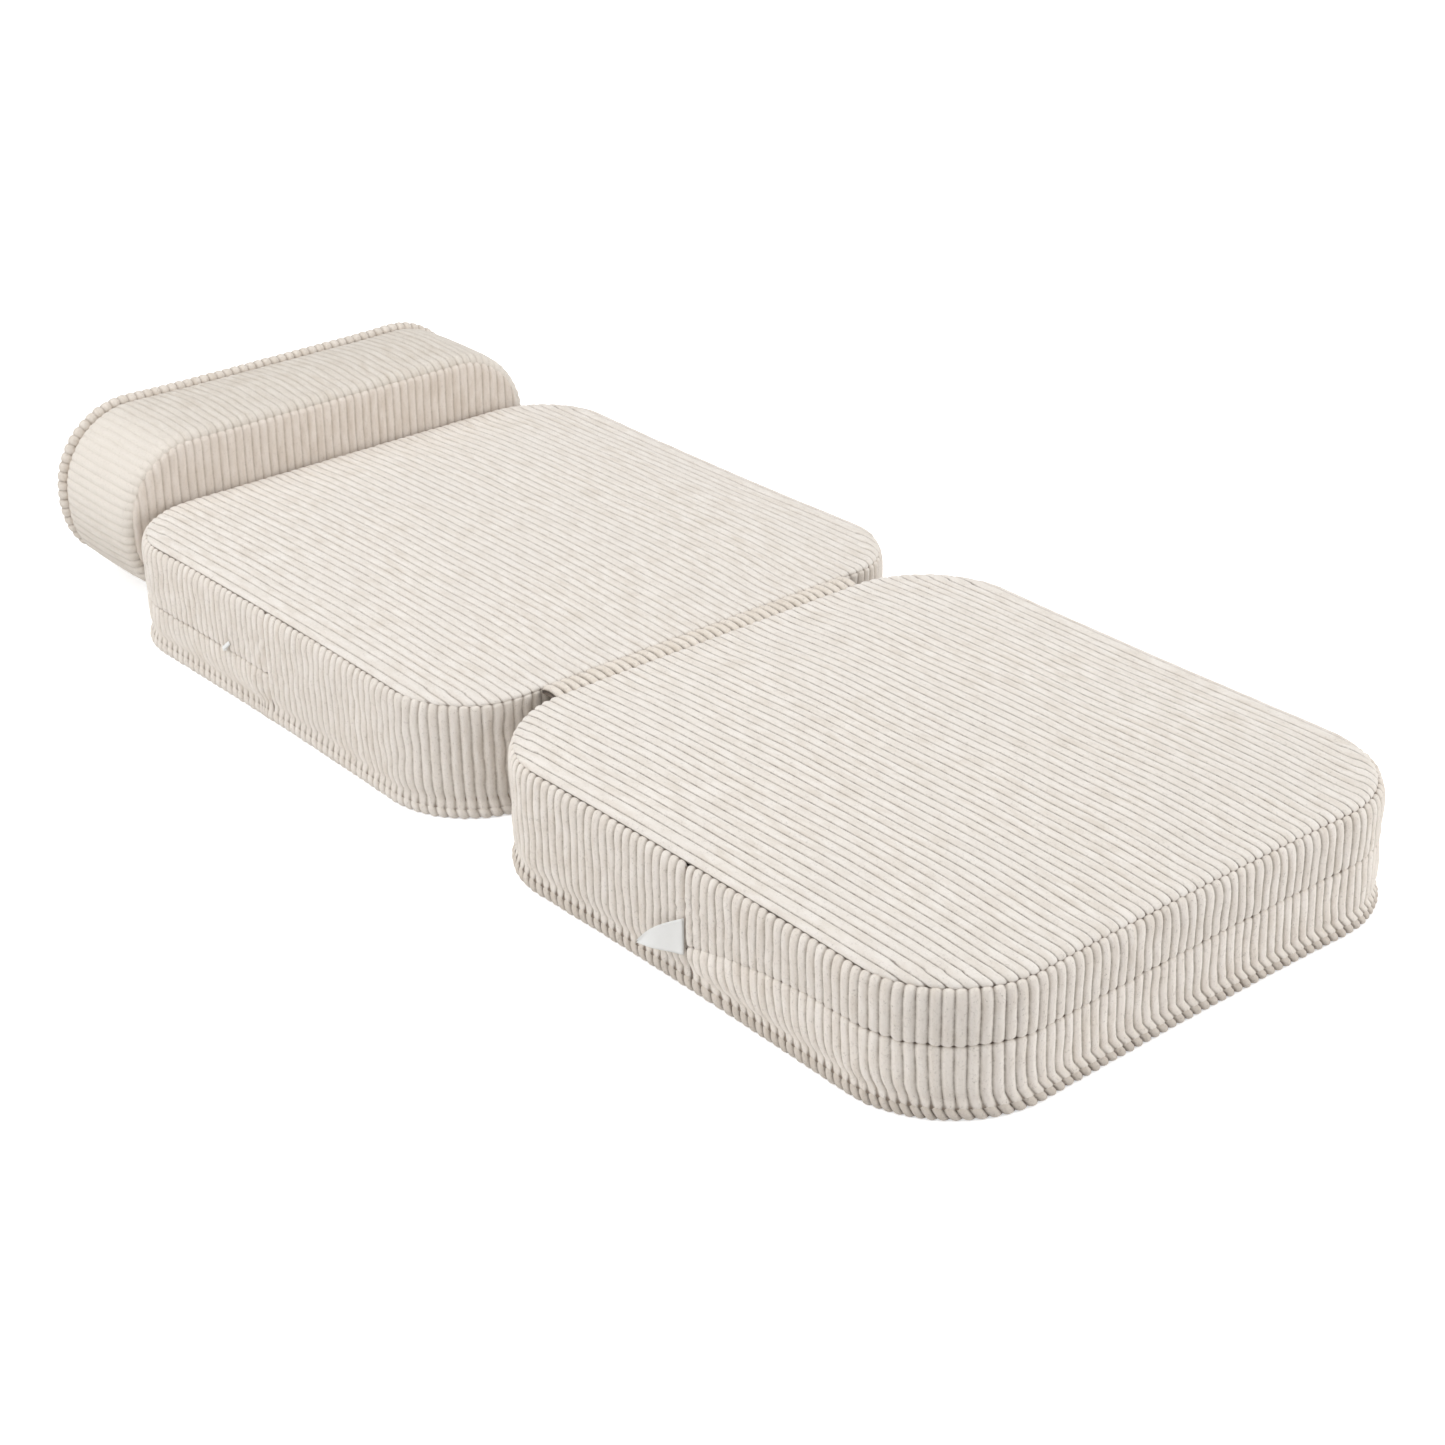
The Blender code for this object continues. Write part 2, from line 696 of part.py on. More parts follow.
def gusset_profile(station: Station) -> list:
    """Profile of the bolster's gusset, from the back rim to the seam on its front face."""
    roll = front_roll(station)
    back = 2 * BACK_WELT_RADIUS + FIT
    front = BOLSTER_DEPTH - FRONT_ROUND
    profile = [(PINCH * (1 - station.free), back)]
    profile += [(0, mix(back, front, side_share)) for side_share in GUSSET_SIDE_SHARES]
    profile.append((0, front))
    for inset_share, round_share in GUSSET_ROLL_SHARES:
        profile.append((roll * inset_share, BOLSTER_DEPTH - mix(FRONT_DIP, FRONT_ROUND, round_share)))
    profile.append((roll - SEAM_GAP / 2, BOLSTER_DEPTH - FRONT_DIP))
    return profile


def front_profile(station: Station) -> list:
    """Profile of the bolster's front panel, from its seam to the flat of the front."""
    roll = front_roll(station) + SEAM_GAP / 2
    profile = [(roll, BOLSTER_DEPTH - FRONT_DIP)]
    for ease_share, dip_share in FRONT_EASE_SHARES:
        profile.append((roll + FRONT_EASE * ease_share, BOLSTER_DEPTH - FRONT_DIP * dip_share))
    return profile


def add_gusset(stations: list, axis: bpy.types.Object) -> bpy.types.Object:
    """Cover over the bolster's top and round its ends."""
    run = cut_run(stations, lambda station: 1 - station.free, 1 - fade(1))
    sheet, _ = loft(profile_rows(run, gusset_profile), closed=False)
    return stand_up(thicken(add_mesh("bolster_gusset", sheet, CORDUROY), SKIN), axis)


def add_front_panel(stations: list, axis: bpy.types.Object) -> bpy.types.Object:
    """Front of the bolster's cover, against the middle pad."""
    rows = profile_rows(stations, front_profile)
    rows += crown_rows(rows[-1], Vector((0, 0)), FRONT_DIP * FRONT_CROWN_SHARE)
    sheet, rings = loft(rows, closed=True)
    close_with_fan(sheet, rings[-1], Vector((0, 0, BOLSTER_DEPTH)))
    return stand_up(thicken(add_mesh("bolster_front_panel", sheet, CORDUROY), SKIN), axis)


def back_outline() -> list:
    """Path of the piped rim: a little proud of the top and ends, and inside the lower edge."""
    base = WELT_LIFT + BACK_WELT_RADIUS
    height = BOLSTER_HEIGHT - BACK_WELT_INSET - base
    width = BOLSTER_WIDTH - 2 * BACK_WELT_INSET
    outline = plan_outline(width, height, BOLSTER_CORNER_RADIUS - BACK_WELT_INSET, 0, 0)
    lift = Vector((0, base + height / 2 - BOLSTER_HEIGHT / 2))
    return [station._replace(place=station.place + lift) for station in outline]


def add_back_welt(axis: bpy.types.Object) -> bpy.types.Object:
    """Thick piped rim round the bolster's back."""
    path = [place(station, 0, BACK_WELT_RADIUS) for station in back_outline()]
    return stand_up(add_tube("bolster_back_welt", path, BACK_WELT_RADIUS, True, EDGE_CORDUROY), axis)


def add_back_panel(axis: bpy.types.Object) -> bpy.types.Object:
    """Back of the bolster's cover, swelling inside its rim."""
    stations = back_outline()
    centre = stations[0].place.lerp(stations[len(stations) // 2].place, 0.5)
    edge = [place(station, BACK_WELT_RADIUS + FIT, BACK_WELT_RADIUS) for station in stations]
    rows = [edge] + crown_rows(edge, centre, -BACK_WELT_RADIUS)
    sheet, rings = loft(rows, closed=True)
    close_with_fan(sheet, rings[-1], Vector((centre.x, centre.y, 0)))
    bmesh.ops.reverse_faces(sheet, faces=sheet.faces)
    return stand_up(thicken(add_mesh("bolster_back_panel", sheet, CORDUROY), SKIN), axis)


def bolster_inset(station: Station) -> float:
    """How far inside the outline the bolster's foam lies: less over the flat base."""
    return mix(PINCH + 2 * FIT, 0, station.free) + SKIN + FIT


def foam_front_profile(station: Station) -> list:
    """Profile of the bolster's foam under the front roll and the front panel."""
    inset = bolster_inset(station)
    rolled = offset_profile(gusset_profile(station)[len(GUSSET_SIDE_SHARES) + 1:], SKIN + FIT)[:-1]
    rolled += offset_profile(front_profile(station), SKIN + 2 * FIT)
    return [(max(moved, inset), height) for moved, height in rolled]


def add_bolster_core(stations: list, axis: bpy.types.Object) -> bpy.types.Object:
    """Foam of the bolster, stepped in behind so that it clears the rim."""
    rim = back_outline()
    rim_centre = rim[0].place.lerp(rim[len(rim) // 2].place, 0.5)
    shoulder = 2 * BACK_WELT_RADIUS + FIT
    back_edge = [place(station, BACK_CORE_INSET, BACK_WELT_RADIUS + SKIN + FIT) for station in rim]
    rows = list(reversed(crown_rows(back_edge, rim_centre, -BACK_WELT_RADIUS)))
    rows.append(back_edge)
    rows.append([place(station, BACK_CORE_INSET, shoulder) for station in rim])
    rows.append([place(station, bolster_inset(station), shoulder) for station in stations])
    rows += profile_rows(stations, foam_front_profile)
    rows += crown_rows(rows[-1], Vector((0, 0)), FRONT_DIP * FRONT_CROWN_SHARE)
    block, rings = loft(rows, closed=True)
    close_with_fan(block, list(reversed(rings[0])), Vector((*rim_centre, SKIN + FIT)))
    close_with_fan(block, rings[-1], Vector((0, 0, BOLSTER_DEPTH - SKIN - FIT)))
    return stand_up(add_mesh("bolster_foam_core", block, FOAM), axis)


def base_span() -> tuple:
    """Front and back edge of the bolster's base panel, from the bolster's front."""
    return STRIP_LAP + FIT, BOLSTER_DEPTH - 2 * BACK_WELT_RADIUS - FIT


def hang_on_bolster(piece: bpy.types.Object, axis: bpy.types.Object, at: Vector) -> bpy.types.Object:
    """Set a piece that was modelled upright at a place behind the bolster's front, over the floor."""
    piece.parent = axis
    piece.location = Vector((at.x, BOLSTER_FRONT_Y + at.y, at.z)) - BACK_AXIS
    return piece


def slot_length() -> float:
    """Length of the slot in the base panel, for the zip chain and its slider."""
    return BOLSTER_ZIP_LENGTH + SLIDER_LENGTH + 3 * FIT


def add_base_panel(axis: bpy.types.Object) -> bpy.types.Object:
    """Flat cloth that the bolster stands on, with a slot for its zip."""
    front, back = base_span()
    first_step = math.radians(90) / CORNER_STEPS
    flat = BOLSTER_WIDTH / 2 - BOLSTER_CORNER_RADIUS * (1 - math.sin(first_step))
    width = 2 * (flat - SEAM_GAP)
    middle = Vector((0, (front + back) / 2, SKIN / 2))
    panel = add_block("bolster_base_panel", Vector((width, back - front, SKIN)), CORDUROY)
    slot_size = Vector((slot_length(), ZIP_CHAIN_WIDTH + 2 * FIT, SKIN + 2 * CUT_OVERRUN))
    slot = add_block("base_slot_cutter", slot_size, CORDUROY)
    SOFA.objects.unlink(slot)
    CUTTERS.objects.link(slot)
    slot.hide_render = True
    slot.display_type = "WIRE"
    hang_on_bolster(panel, axis, middle)
    hang_on_bolster(slot, axis, middle)
    cut = panel.modifiers.new("zip_slot", "BOOLEAN")
    cut.operation = "DIFFERENCE"
    cut.object = slot
    return panel


def add_bolster_zip(axis: bpy.types.Object) -> None:
    """Zip chain and slider, end to end in the slot of the base panel, clear of the floor."""
    front, back = base_span()
    start = -slot_length() / 2 + FIT
    height = SKIN - ZIP_CHAIN_DEPTH / 2
    chain_size = Vector((BOLSTER_ZIP_LENGTH, ZIP_CHAIN_WIDTH, ZIP_CHAIN_DEPTH))
    chain = add_block("bolster_zip_chain", chain_size, ZIP_CLOTH)
    hang_on_bolster(chain, axis, Vector((start + BOLSTER_ZIP_LENGTH / 2, (front + back) / 2, height)))
    slider_size = Vector((SLIDER_LENGTH, ZIP_CHAIN_WIDTH, ZIP_CHAIN_DEPTH))
    slider = round_edges(add_block("bolster_zip_slider", slider_size, SLIDER_METAL), SLIDER_ROUND / 2)
    slider_x = start + BOLSTER_ZIP_LENGTH + FIT + SLIDER_LENGTH / 2
    hang_on_bolster(slider, axis, Vector((slider_x, (front + back) / 2, height)))


def add_fold_strip(root: bpy.types.Object) -> bpy.types.Object:
    """Cloth hinge at the top, its two edges sewn into the seams of the two pads."""
    half = STRIP_CLOTH / 2
    roll_rise = HINGE_DROP * (1 - HINGE_TOP_SHARES[1][1])
    tuck = PINCH * (1 - half / roll_rise) - 2 * FIT
    half_length = PAD_WIDTH / 2 - max(FRONT_CORNER_RADIUS, MIDDLE_CORNER_RADIUS)
    first = FRONT_PAD_Y + PAD_LENGTH / 2 - tuck
    last = MIDDLE_PAD_Y - PAD_LENGTH / 2 + tuck
    height = PAD_EDGE_HEIGHT - HINGE_DROP
    rows = []
    for step in range(BAND_STEPS + 1):
        share = step / BAND_STEPS
        sag = STRIP_SAG * 4 * share * (1 - share)
        rows.append([Vector((side * half_length, mix(first, last, share), height - sag)) for side in (-1, 1)])
    sheet, _ = loft(rows, closed=False)
    strip = thicken(add_mesh("fold_hinge_strip", sheet, CORDUROY), STRIP_CLOTH, side=0)
    strip.parent = root
    return strip


def add_back_strip(fold: bpy.types.Object) -> bpy.types.Object:
    """Cloth hinge by the floor, lapped under the middle pad and the bolster."""
    straight = min(PAD_WIDTH / 2 - MIDDLE_CORNER_RADIUS, BOLSTER_WIDTH / 2 - BOLSTER_CORNER_RADIUS)
    size = Vector((2 * (straight - SEAM_GAP), 2 * STRIP_LAP + FIT, STRIP_CLOTH))
    strip = add_block("back_hinge_strip", size, CORDUROY)
    strip.parent = fold
    strip.location = Vector((0, BOLSTER_FRONT_Y - FIT / 2, WELT_LIFT + STRIP_CLOTH / 2)) - FOLD_AXIS
    return strip


def main() -> None:
    """Model the sofa."""
    root = new_axis("front_pad_place", Vector((0, 0, 0)))
    fold = new_axis("fold_axis", FOLD_AXIS, root)
    back = new_axis("back_axis", BACK_AXIS, fold)
    front_plan = plan_outline(PAD_WIDTH, PAD_LENGTH, FRONT_CORNER_RADIUS, SIDE_DRAW, SIDE_DRAW)
    middle_plan = plan_outline(PAD_WIDTH, PAD_LENGTH, MIDDLE_CORNER_RADIUS, SIDE_DRAW, 0)
    front = Pad(
        name="front",
        axis=Vector((0, 0, 0)),
        parent=root,
        middle_y=FRONT_PAD_Y,
        turn=0,
        stations=front_plan,
        zip_start=FRONT_ZIP_START,
        zip_height=FRONT_ZIP_HEIGHT,
        label_sag=LABEL_SAG,
        joins_bolster=False,
    )
    middle = Pad(
        name="middle",
        axis=FOLD_AXIS,
        parent=fold,
        middle_y=MIDDLE_PAD_Y,
        turn=math.radians(180),
        stations=middle_plan,
        zip_start=MIDDLE_ZIP_START,
        zip_height=MIDDLE_ZIP_HEIGHT,
        label_sag=0,
        joins_bolster=True,
    )
    add_pad(front)
    add_label(front)
    add_pad(middle)
    bolster = plan_outline(BOLSTER_WIDTH, BOLSTER_HEIGHT, BOLSTER_CORNER_RADIUS, 0, 0)
    add_gusset(bolster, back)
    add_front_panel(bolster, back)
    add_back_welt(back)
    add_back_panel(back)
    add_bolster_core(bolster, back)
    add_base_panel(back)
    add_bolster_zip(back)
    add_fold_strip(root)
    add_back_strip(fold)


main()
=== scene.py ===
"""Looks of the kids' flip open sofa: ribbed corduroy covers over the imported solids.

Metres, +Z up, the CAD's own frame: the opened sofa lies along Y, the front pad towards -Y.
"""

import logging
import math
from dataclasses import dataclass
from enum import Enum
from typing import Callable, Iterator, NamedTuple, Sequence

import bpy
import numpy as np
from mathutils import Matrix, Vector


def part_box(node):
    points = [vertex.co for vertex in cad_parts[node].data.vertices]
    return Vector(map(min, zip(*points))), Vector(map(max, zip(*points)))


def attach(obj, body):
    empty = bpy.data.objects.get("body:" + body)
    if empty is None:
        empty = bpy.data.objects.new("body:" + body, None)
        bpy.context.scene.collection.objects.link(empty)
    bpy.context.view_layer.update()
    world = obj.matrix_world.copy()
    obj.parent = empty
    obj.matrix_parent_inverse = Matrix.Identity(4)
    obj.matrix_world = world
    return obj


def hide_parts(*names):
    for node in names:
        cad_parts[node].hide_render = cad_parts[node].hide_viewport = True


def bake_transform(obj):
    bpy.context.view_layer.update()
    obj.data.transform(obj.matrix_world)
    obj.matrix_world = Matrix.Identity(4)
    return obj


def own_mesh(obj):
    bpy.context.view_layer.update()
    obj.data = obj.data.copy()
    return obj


LOG = logging.getLogger("flip_open_sofa")

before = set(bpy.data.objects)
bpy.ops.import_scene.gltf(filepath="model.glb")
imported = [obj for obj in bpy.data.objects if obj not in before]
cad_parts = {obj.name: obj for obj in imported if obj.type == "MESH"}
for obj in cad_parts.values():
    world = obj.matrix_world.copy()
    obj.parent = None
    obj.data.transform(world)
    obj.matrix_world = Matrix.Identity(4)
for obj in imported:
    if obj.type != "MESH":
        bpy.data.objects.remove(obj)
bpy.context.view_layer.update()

RIB_PITCH = 0.0104
RIB_COLUMNS = (0.0, 0.05, 0.14, 0.30, 0.50, 0.70, 0.86, 0.95)
PLAIN_COLUMNS = (0.0, 0.12, 0.5, 0.88)
WALL_ROWS = 26
SHOULDER_ROWS = 10
TOP_ROWS = 96
PEG_SIDES = 20
HEM_CEILING = 0.02
BASE_RIB = 0.0012


class Body(Enum):
    """Moving bodies of the sofa."""

    FRONT = "front_pad"
    MIDDLE = "middle_pad"
    BOLSTER = "back_bolster"


class Slot(Enum):
    """Material slots of the record."""

    CORDUROY = "corduroy"
    EDGE = "corduroy_edge"
    ZIP = "zip_chain"
    SLIDER = "slider"
    RIBBON = "ribbon"


class Value:
    """A node socket that takes part in sums."""

    def __init__(self, graph: "Graph", socket: bpy.types.NodeSocket) -> None:
        """Wrap one output socket."""
        self.graph = graph
        self.socket = socket

    def _sum(self, operation: str, first: object, second: object) -> "Value":
        """One Math node on two values."""
        return self.graph.node("ShaderNodeMath", {"operation": operation}, {0: first, 1: second})

    def __add__(self, other: object) -> "Value":
        """Sum."""
        return self._sum("ADD", self, other)

    __radd__ = __add__

    def __sub__(self, other: object) -> "Value":
        """Difference."""
        return self._sum("SUBTRACT", self, other)

    def __rsub__(self, other: object) -> "Value":
        """Difference from a number."""
        return self._sum("SUBTRACT", other, self)

    def __mul__(self, other: object) -> "Value":
        """Product."""
        return self._sum("MULTIPLY", self, other)

    __rmul__ = __mul__

    def __truediv__(self, other: object) -> "Value":
        """Quotient."""
        return self._sum("DIVIDE", self, other)

    def __pow__(self, other: object) -> "Value":
        """Power."""
        return self._sum("POWER", self, other)

    def __abs__(self) -> "Value":
        """Size without its sign."""
        return self._sum("ABSOLUTE", self, 0.0)

    def fraction(self) -> "Value":
        """Part after the point."""
        return self._sum("FRACT", self, 0.0)

    def limited(self, low: float, high: float) -> "Value":
        """Kept between two numbers."""
        return self._sum("MINIMUM", self._sum("MAXIMUM", self, low), high)


class Graph:
    """A node tree that is written as expressions."""

    def __init__(self, tree: bpy.types.NodeTree) -> None:
        """Start on an empty tree."""
        self.tree = tree
        tree.nodes.clear()

    def add(self, kind: str, settings: dict, inputs: dict) -> bpy.types.Node:
        """Add a node.

        Args:
            kind: the node's type.
            settings: what is set on the node first.
            inputs: values or links by the socket's name or number.

        Returns:
            The node.
        """
        node = self.tree.nodes.new(kind)
        for name, setting in settings.items():
            setattr(node, name, setting)
        for key, given in inputs.items():
            socket = node.inputs[key]
            if isinstance(given, Value):
                self.tree.links.new(given.socket, socket)
            else:
                socket.default_value = given
        return node

    def node(self, kind: str, settings: dict, inputs: dict, output: object = 0) -> Value:
        """Add a node and take one of its outputs."""
        return Value(self, self.add(kind, settings, inputs).outputs[output])

    def mixed(self, factor: object, first: object, second: object, blend: str = "MIX") -> Value:
        """Mix two colours.

        Args:
            factor: share of the second.
            first: colour or link.
            second: colour or link.
            blend: the Mix node's blend type.

        Returns:
            The mixed colour.
        """
        settings = {"data_type": "RGBA", "blend_type": blend}
        return self.node("ShaderNodeMix", settings, {0: factor, 6: first, 7: second}, 2)

    def seen_directly(self) -> Value:
        """1 on rays that show the background: from the camera, in gloss or through glass.

        Returns:
            The share, 0 or 1.
        """
        ray = self.add("ShaderNodeLightPath", {}, {})
        kinds = ("Camera", "Glossy", "Transmission")
        camera, gloss, glass = (Value(self, ray.outputs[f"Is {kind} Ray"]) for kind in kinds)
        return (camera + gloss + glass).limited(0.0, 1.0)

    def own_place(self) -> Value:
        """Place in the object's own coordinates."""
        return self.node("ShaderNodeTexCoord", {}, {}, "Object")

    def split(self, place: Value) -> list:
        """The three parts of a place."""
        return [Value(self, part) for part in self.add("ShaderNodeSeparateXYZ", {}, {0: place}).outputs]

    def joined(self, x: object, y: object, z: object) -> Value:
        """Place made of three parts."""
        return self.node("ShaderNodeCombineXYZ", {}, {0: x, 1: y, 2: z})

    def rib_parts(self) -> list:
        """Lengths across and along the ribs, in ribs."""
        return self.split(self.node("ShaderNodeUVMap", {"uv_map": "ribs"}, {}))[:2]

    def end_on(self, inputs: dict, strength: float, distance: float, height: Value) -> None:
        """Close a material's graph with a bumped Principled surface.

        Args:
            inputs: the surface's inputs.
            strength: how far the bumps show.
            distance: how high they stand, in metres.
            height: their pattern.
        """
        bump = self.node("ShaderNodeBump", {}, {"Strength": strength, "Distance": distance, "Height": height})
        shader = self.node("ShaderNodeBsdfPrincipled", {}, {**inputs, "Normal": bump})
        self.add("ShaderNodeOutputMaterial", {}, {"Surface": shader})

    def noise(self, place: object, scale: float, detail: float = 2.0, roughness: float = 0.5) -> Value:
        """Noise about 0.5 at a place."""
        inputs = {"Vector": place, "Scale": scale, "Detail": detail, "Roughness": roughness}
        return self.node("ShaderNodeTexNoise", {}, inputs, 0)


def new_material(name: str) -> tuple:
    """A material and its empty graph.

    Args:
        name: the material's name.

    Returns:
        The material and the graph.
    """
    material = bpy.data.materials.new(name)
    material.use_nodes = True
    return material, Graph(material.node_tree)


def shaded(colour: tuple, *shares: float) -> tuple:
    """A colour with its red, green and blue times the shares, no brighter than 1."""
    return tuple(min(channel * share, 1.0) for channel, share in zip(colour, shares)) + (1.0,)


def srgb(red: float, green: float, blue: float) -> tuple:
    """Linear colour of an 8-bit screen colour.

    Args:
        red: 0 to 255.
        green: 0 to 255.
        blue: 0 to 255.

    Returns:
        Red, green, blue and an alpha of 1.
    """
    parts = [channel / 255 for channel in (red, green, blue)]
    linear = [part / 12.92 if part <= 0.04045 else ((part + 0.055) / 1.055) ** 2.4 for part in parts]
    return (*linear, 1.0)


def linked(name: str, data: object) -> bpy.types.Object:
    """New object in the scene.

    Args:
        name: the object's name.
        data: its mesh, camera or lamp data.

    Returns:
        The object.
    """
    made = bpy.data.objects.new(name, data)
    bpy.context.scene.collection.objects.link(made)
    return made


def evaluated(piece: bpy.types.Object) -> bpy.types.Mesh:
    """Plain mesh of a piece with its modifiers in force.

    Args:
        piece: the object.

    Returns:
        The mesh.
    """
    scene = bpy.context.evaluated_depsgraph_get()
    result = piece.evaluated_get(scene)
    return bpy.data.meshes.new_from_object(result, preserve_all_data_layers=True, depsgraph=scene)


@dataclass(frozen=True)
class CorduroyFinish:
    """Cream corduroy pile, its colour and nap laid along the ribs, with painted shade in its grooves and along its
    seams and a painted highlight on a bolster's ends.

    Places and reaches are in metres. Shares of the rib are counted from its crest, 0, to its groove, 1.
    """

    name: str
    crest: tuple
    groove: tuple
    # groove_depth, groove_edge and seam_shade set the painted shade: how dark and how wide the grooves are painted,
    # and how dark the seams.
    groove_depth: float = 0.8
    groove_edge: float = 0.70
    flecks: float = 0.40
    seam_shade: float = 0.26
    # The fields from here to the gain place a painted highlight on a bolster's rounded ends: paler pile and less
    # groove shade, standing in for light from the side lamp.
    end_light_strength: float = 0.0
    end_light_from: float = 0.165
    end_light_reach: float = 0.060
    end_light_low: float = 0.060
    end_light_low_reach: float = 0.055
    end_light_high: float = 0.220
    end_light_high_reach: float = 0.035
    end_light_gain: float = 1.12
    darkest: float = 0.94
    sheen: float = 0.18
    gloss: float = 0.12

    def painted_end_light(self, graph: Graph, place: Value) -> Value:
        """Share of the painted highlight on the rounded ends of a bolster, where the pile is painted paler and its
        groove shade taken out.

        Args:
            graph: the material's graph.
            place: places in the bolster's own coordinates.

        Returns:
            The share, 0 where no highlight is painted.
        """
        side, _, level = graph.split(place)
        out = ((abs(side) - self.end_light_from) / self.end_light_reach).limited(0.0, 1.0)
        low = ((level - self.end_light_low) / self.end_light_low_reach).limited(0.0, 1.0)
        high = ((self.end_light_high - level) / self.end_light_high_reach).limited(0.0, 1.0)
        return out * low * high * self.end_light_strength

    def make(self) -> bpy.types.Material:
        """Build the material.

        Returns:
            The material.
        """
        material, graph = new_material(self.name)
        across, along = graph.rib_parts()
        place = graph.own_place()
        # fade tells how fully a rib stands; where it drops, at seams and edges, the colour is painted darker as
        # shade.
        stand = graph.node("ShaderNodeAttribute", {"attribute_name": "fade"}, {}, "Fac")
        fuzz = graph.noise(graph.joined(across * 9.0, along * 5.0, 0.0), 1.0, 4.0, 0.65)
        nap = graph.noise(graph.joined(across * 1.3, along * 0.35, 0.0), 1.0, 3.0, 0.55)
        pile = graph.noise(place, 1100.0, 3.0, 0.75)
        tone = graph.noise(place, 9.0, 3.0)
        fleck = graph.noise(place, 330.0, 4.0, 0.75)
        patchy = graph.noise(graph.joined(across * 0.9, along * 1.1, 3.0), 1.0, 3.0, 0.6)
        edge = abs(across.fraction() * 2.0 - 1.0)
        opened = (1.0 - stand).limited(0.0, 1.0)
        # The grooves between ribs are painted towards the groove colour: mostly painted shade in the recess, partly
        # the thinner pile there; noise patches vary that painted shade along the ribs.
        ragged = edge + (fuzz - 0.5) * 0.18 + opened * 0.36
        groove = ((ragged - self.groove_edge) / (0.98 - self.groove_edge)).limited(0.0, 1.0)
        # Painted shade along seams and edges where the ribs fade, deepest in the grooves between rib ends, is added
        # to the painted groove shade.
        seam = opened**2.0
        groove_shade_patches = (patchy * 2.0 - 0.1).limited(0.45, 1.25)
        notch_shade = groove * opened * 0.55
        dark = groove * groove * groove_shade_patches * self.groove_depth + seam * self.seam_shade + notch_shade
        dark = dark.limited(0.0, self.darkest)
        speck = ((fleck - 0.54) * 7.0).limited(0.0, 1.0) * ((pile - 0.40) * 4.0).limited(0.0, 1.0)
        warm = shaded(self.crest, 0.90, 0.87, 0.83)
        pale = shaded(self.crest, 1.06, 1.06, 1.06)
        shade = graph.mixed(((nap - 0.36) * 2.6).limited(0.0, 0.85), pale, warm)
        shade = graph.mixed(((tone - 0.42) * 2.0).limited(0.0, 0.45), shade, self.crest)
        # Painted highlight: on a bolster's ends the crest is painted paler and the painted groove and seam shade is
        # taken out, standing in for light from the side.
        if self.end_light_strength:
            painted_end_light = self.painted_end_light(graph, place)
            shade = graph.mixed(painted_end_light, shade, shaded(self.crest, *(self.end_light_gain,) * 3))
            dark = dark * (1.0 - painted_end_light)
        shade = graph.mixed(dark, shade, self.groove)
        shade = graph.mixed(speck * self.flecks, shade, self.groove)
        inputs = {
            "Base Color": shade,
            "Roughness": 0.9 + (pile - 0.5) * 0.1,
            "Sheen Weight": self.sheen,
            "Sheen Roughness": 0.5,
            "Specular IOR Level": self.gloss,
        }
        graph.end_on(inputs, 0.60, 0.0012, pile * 0.45 + fuzz * 0.9 + fleck * 0.8)
        return material


@dataclass(frozen=True)
class RibbonFinish:
    """Woven white ribbon."""

    name: str
    colour: tuple
    threads: float = 40.0

    def make(self) -> bpy.types.Material:
        """Build the material.

        Returns:
            The material.
        """
        material, graph = new_material(self.name)
        weft, warp = (abs((part * self.threads).fraction() * 2.0 - 1.0) for part in graph.rib_parts())
        weave = weft * warp
        tone = graph.noise(graph.own_place(), 120.0, 3.0)
        dull = shaded(self.colour, 0.86, 0.86, 0.85)
        shade = graph.mixed(weave * 0.3 + (tone - 0.5) * 0.4, self.colour, dull)
        graph.end_on({"Base Color": shade, "Roughness": 0.55 + weave * 0.2}, 0.4, 0.0003, weave)
        return material


@dataclass(frozen=True)
class PlainFinish:
    """Moulded or enamelled surface with a faint grain."""

    name: str
    colour: tuple
    roughness: float
    metallic: float = 0.0
    grain: float = 900.0

    def make(self) -> bpy.types.Material:
        """Build the material.

        Returns:
            The material.
        """
        material, graph = new_material(self.name)
        grain = graph.noise(graph.own_place(), self.grain, 3.0)
        shade = graph.mixed((grain - 0.3).limited(0.0, 1.0), self.colour, shaded(self.colour, 0.8, 0.8, 0.78))
        rough = self.roughness + (grain - 0.5) * 0.2
        graph.end_on({"Base Color": shade, "Roughness": rough, "Metallic": self.metallic}, 0.2, 0.0003, grain)
        return material


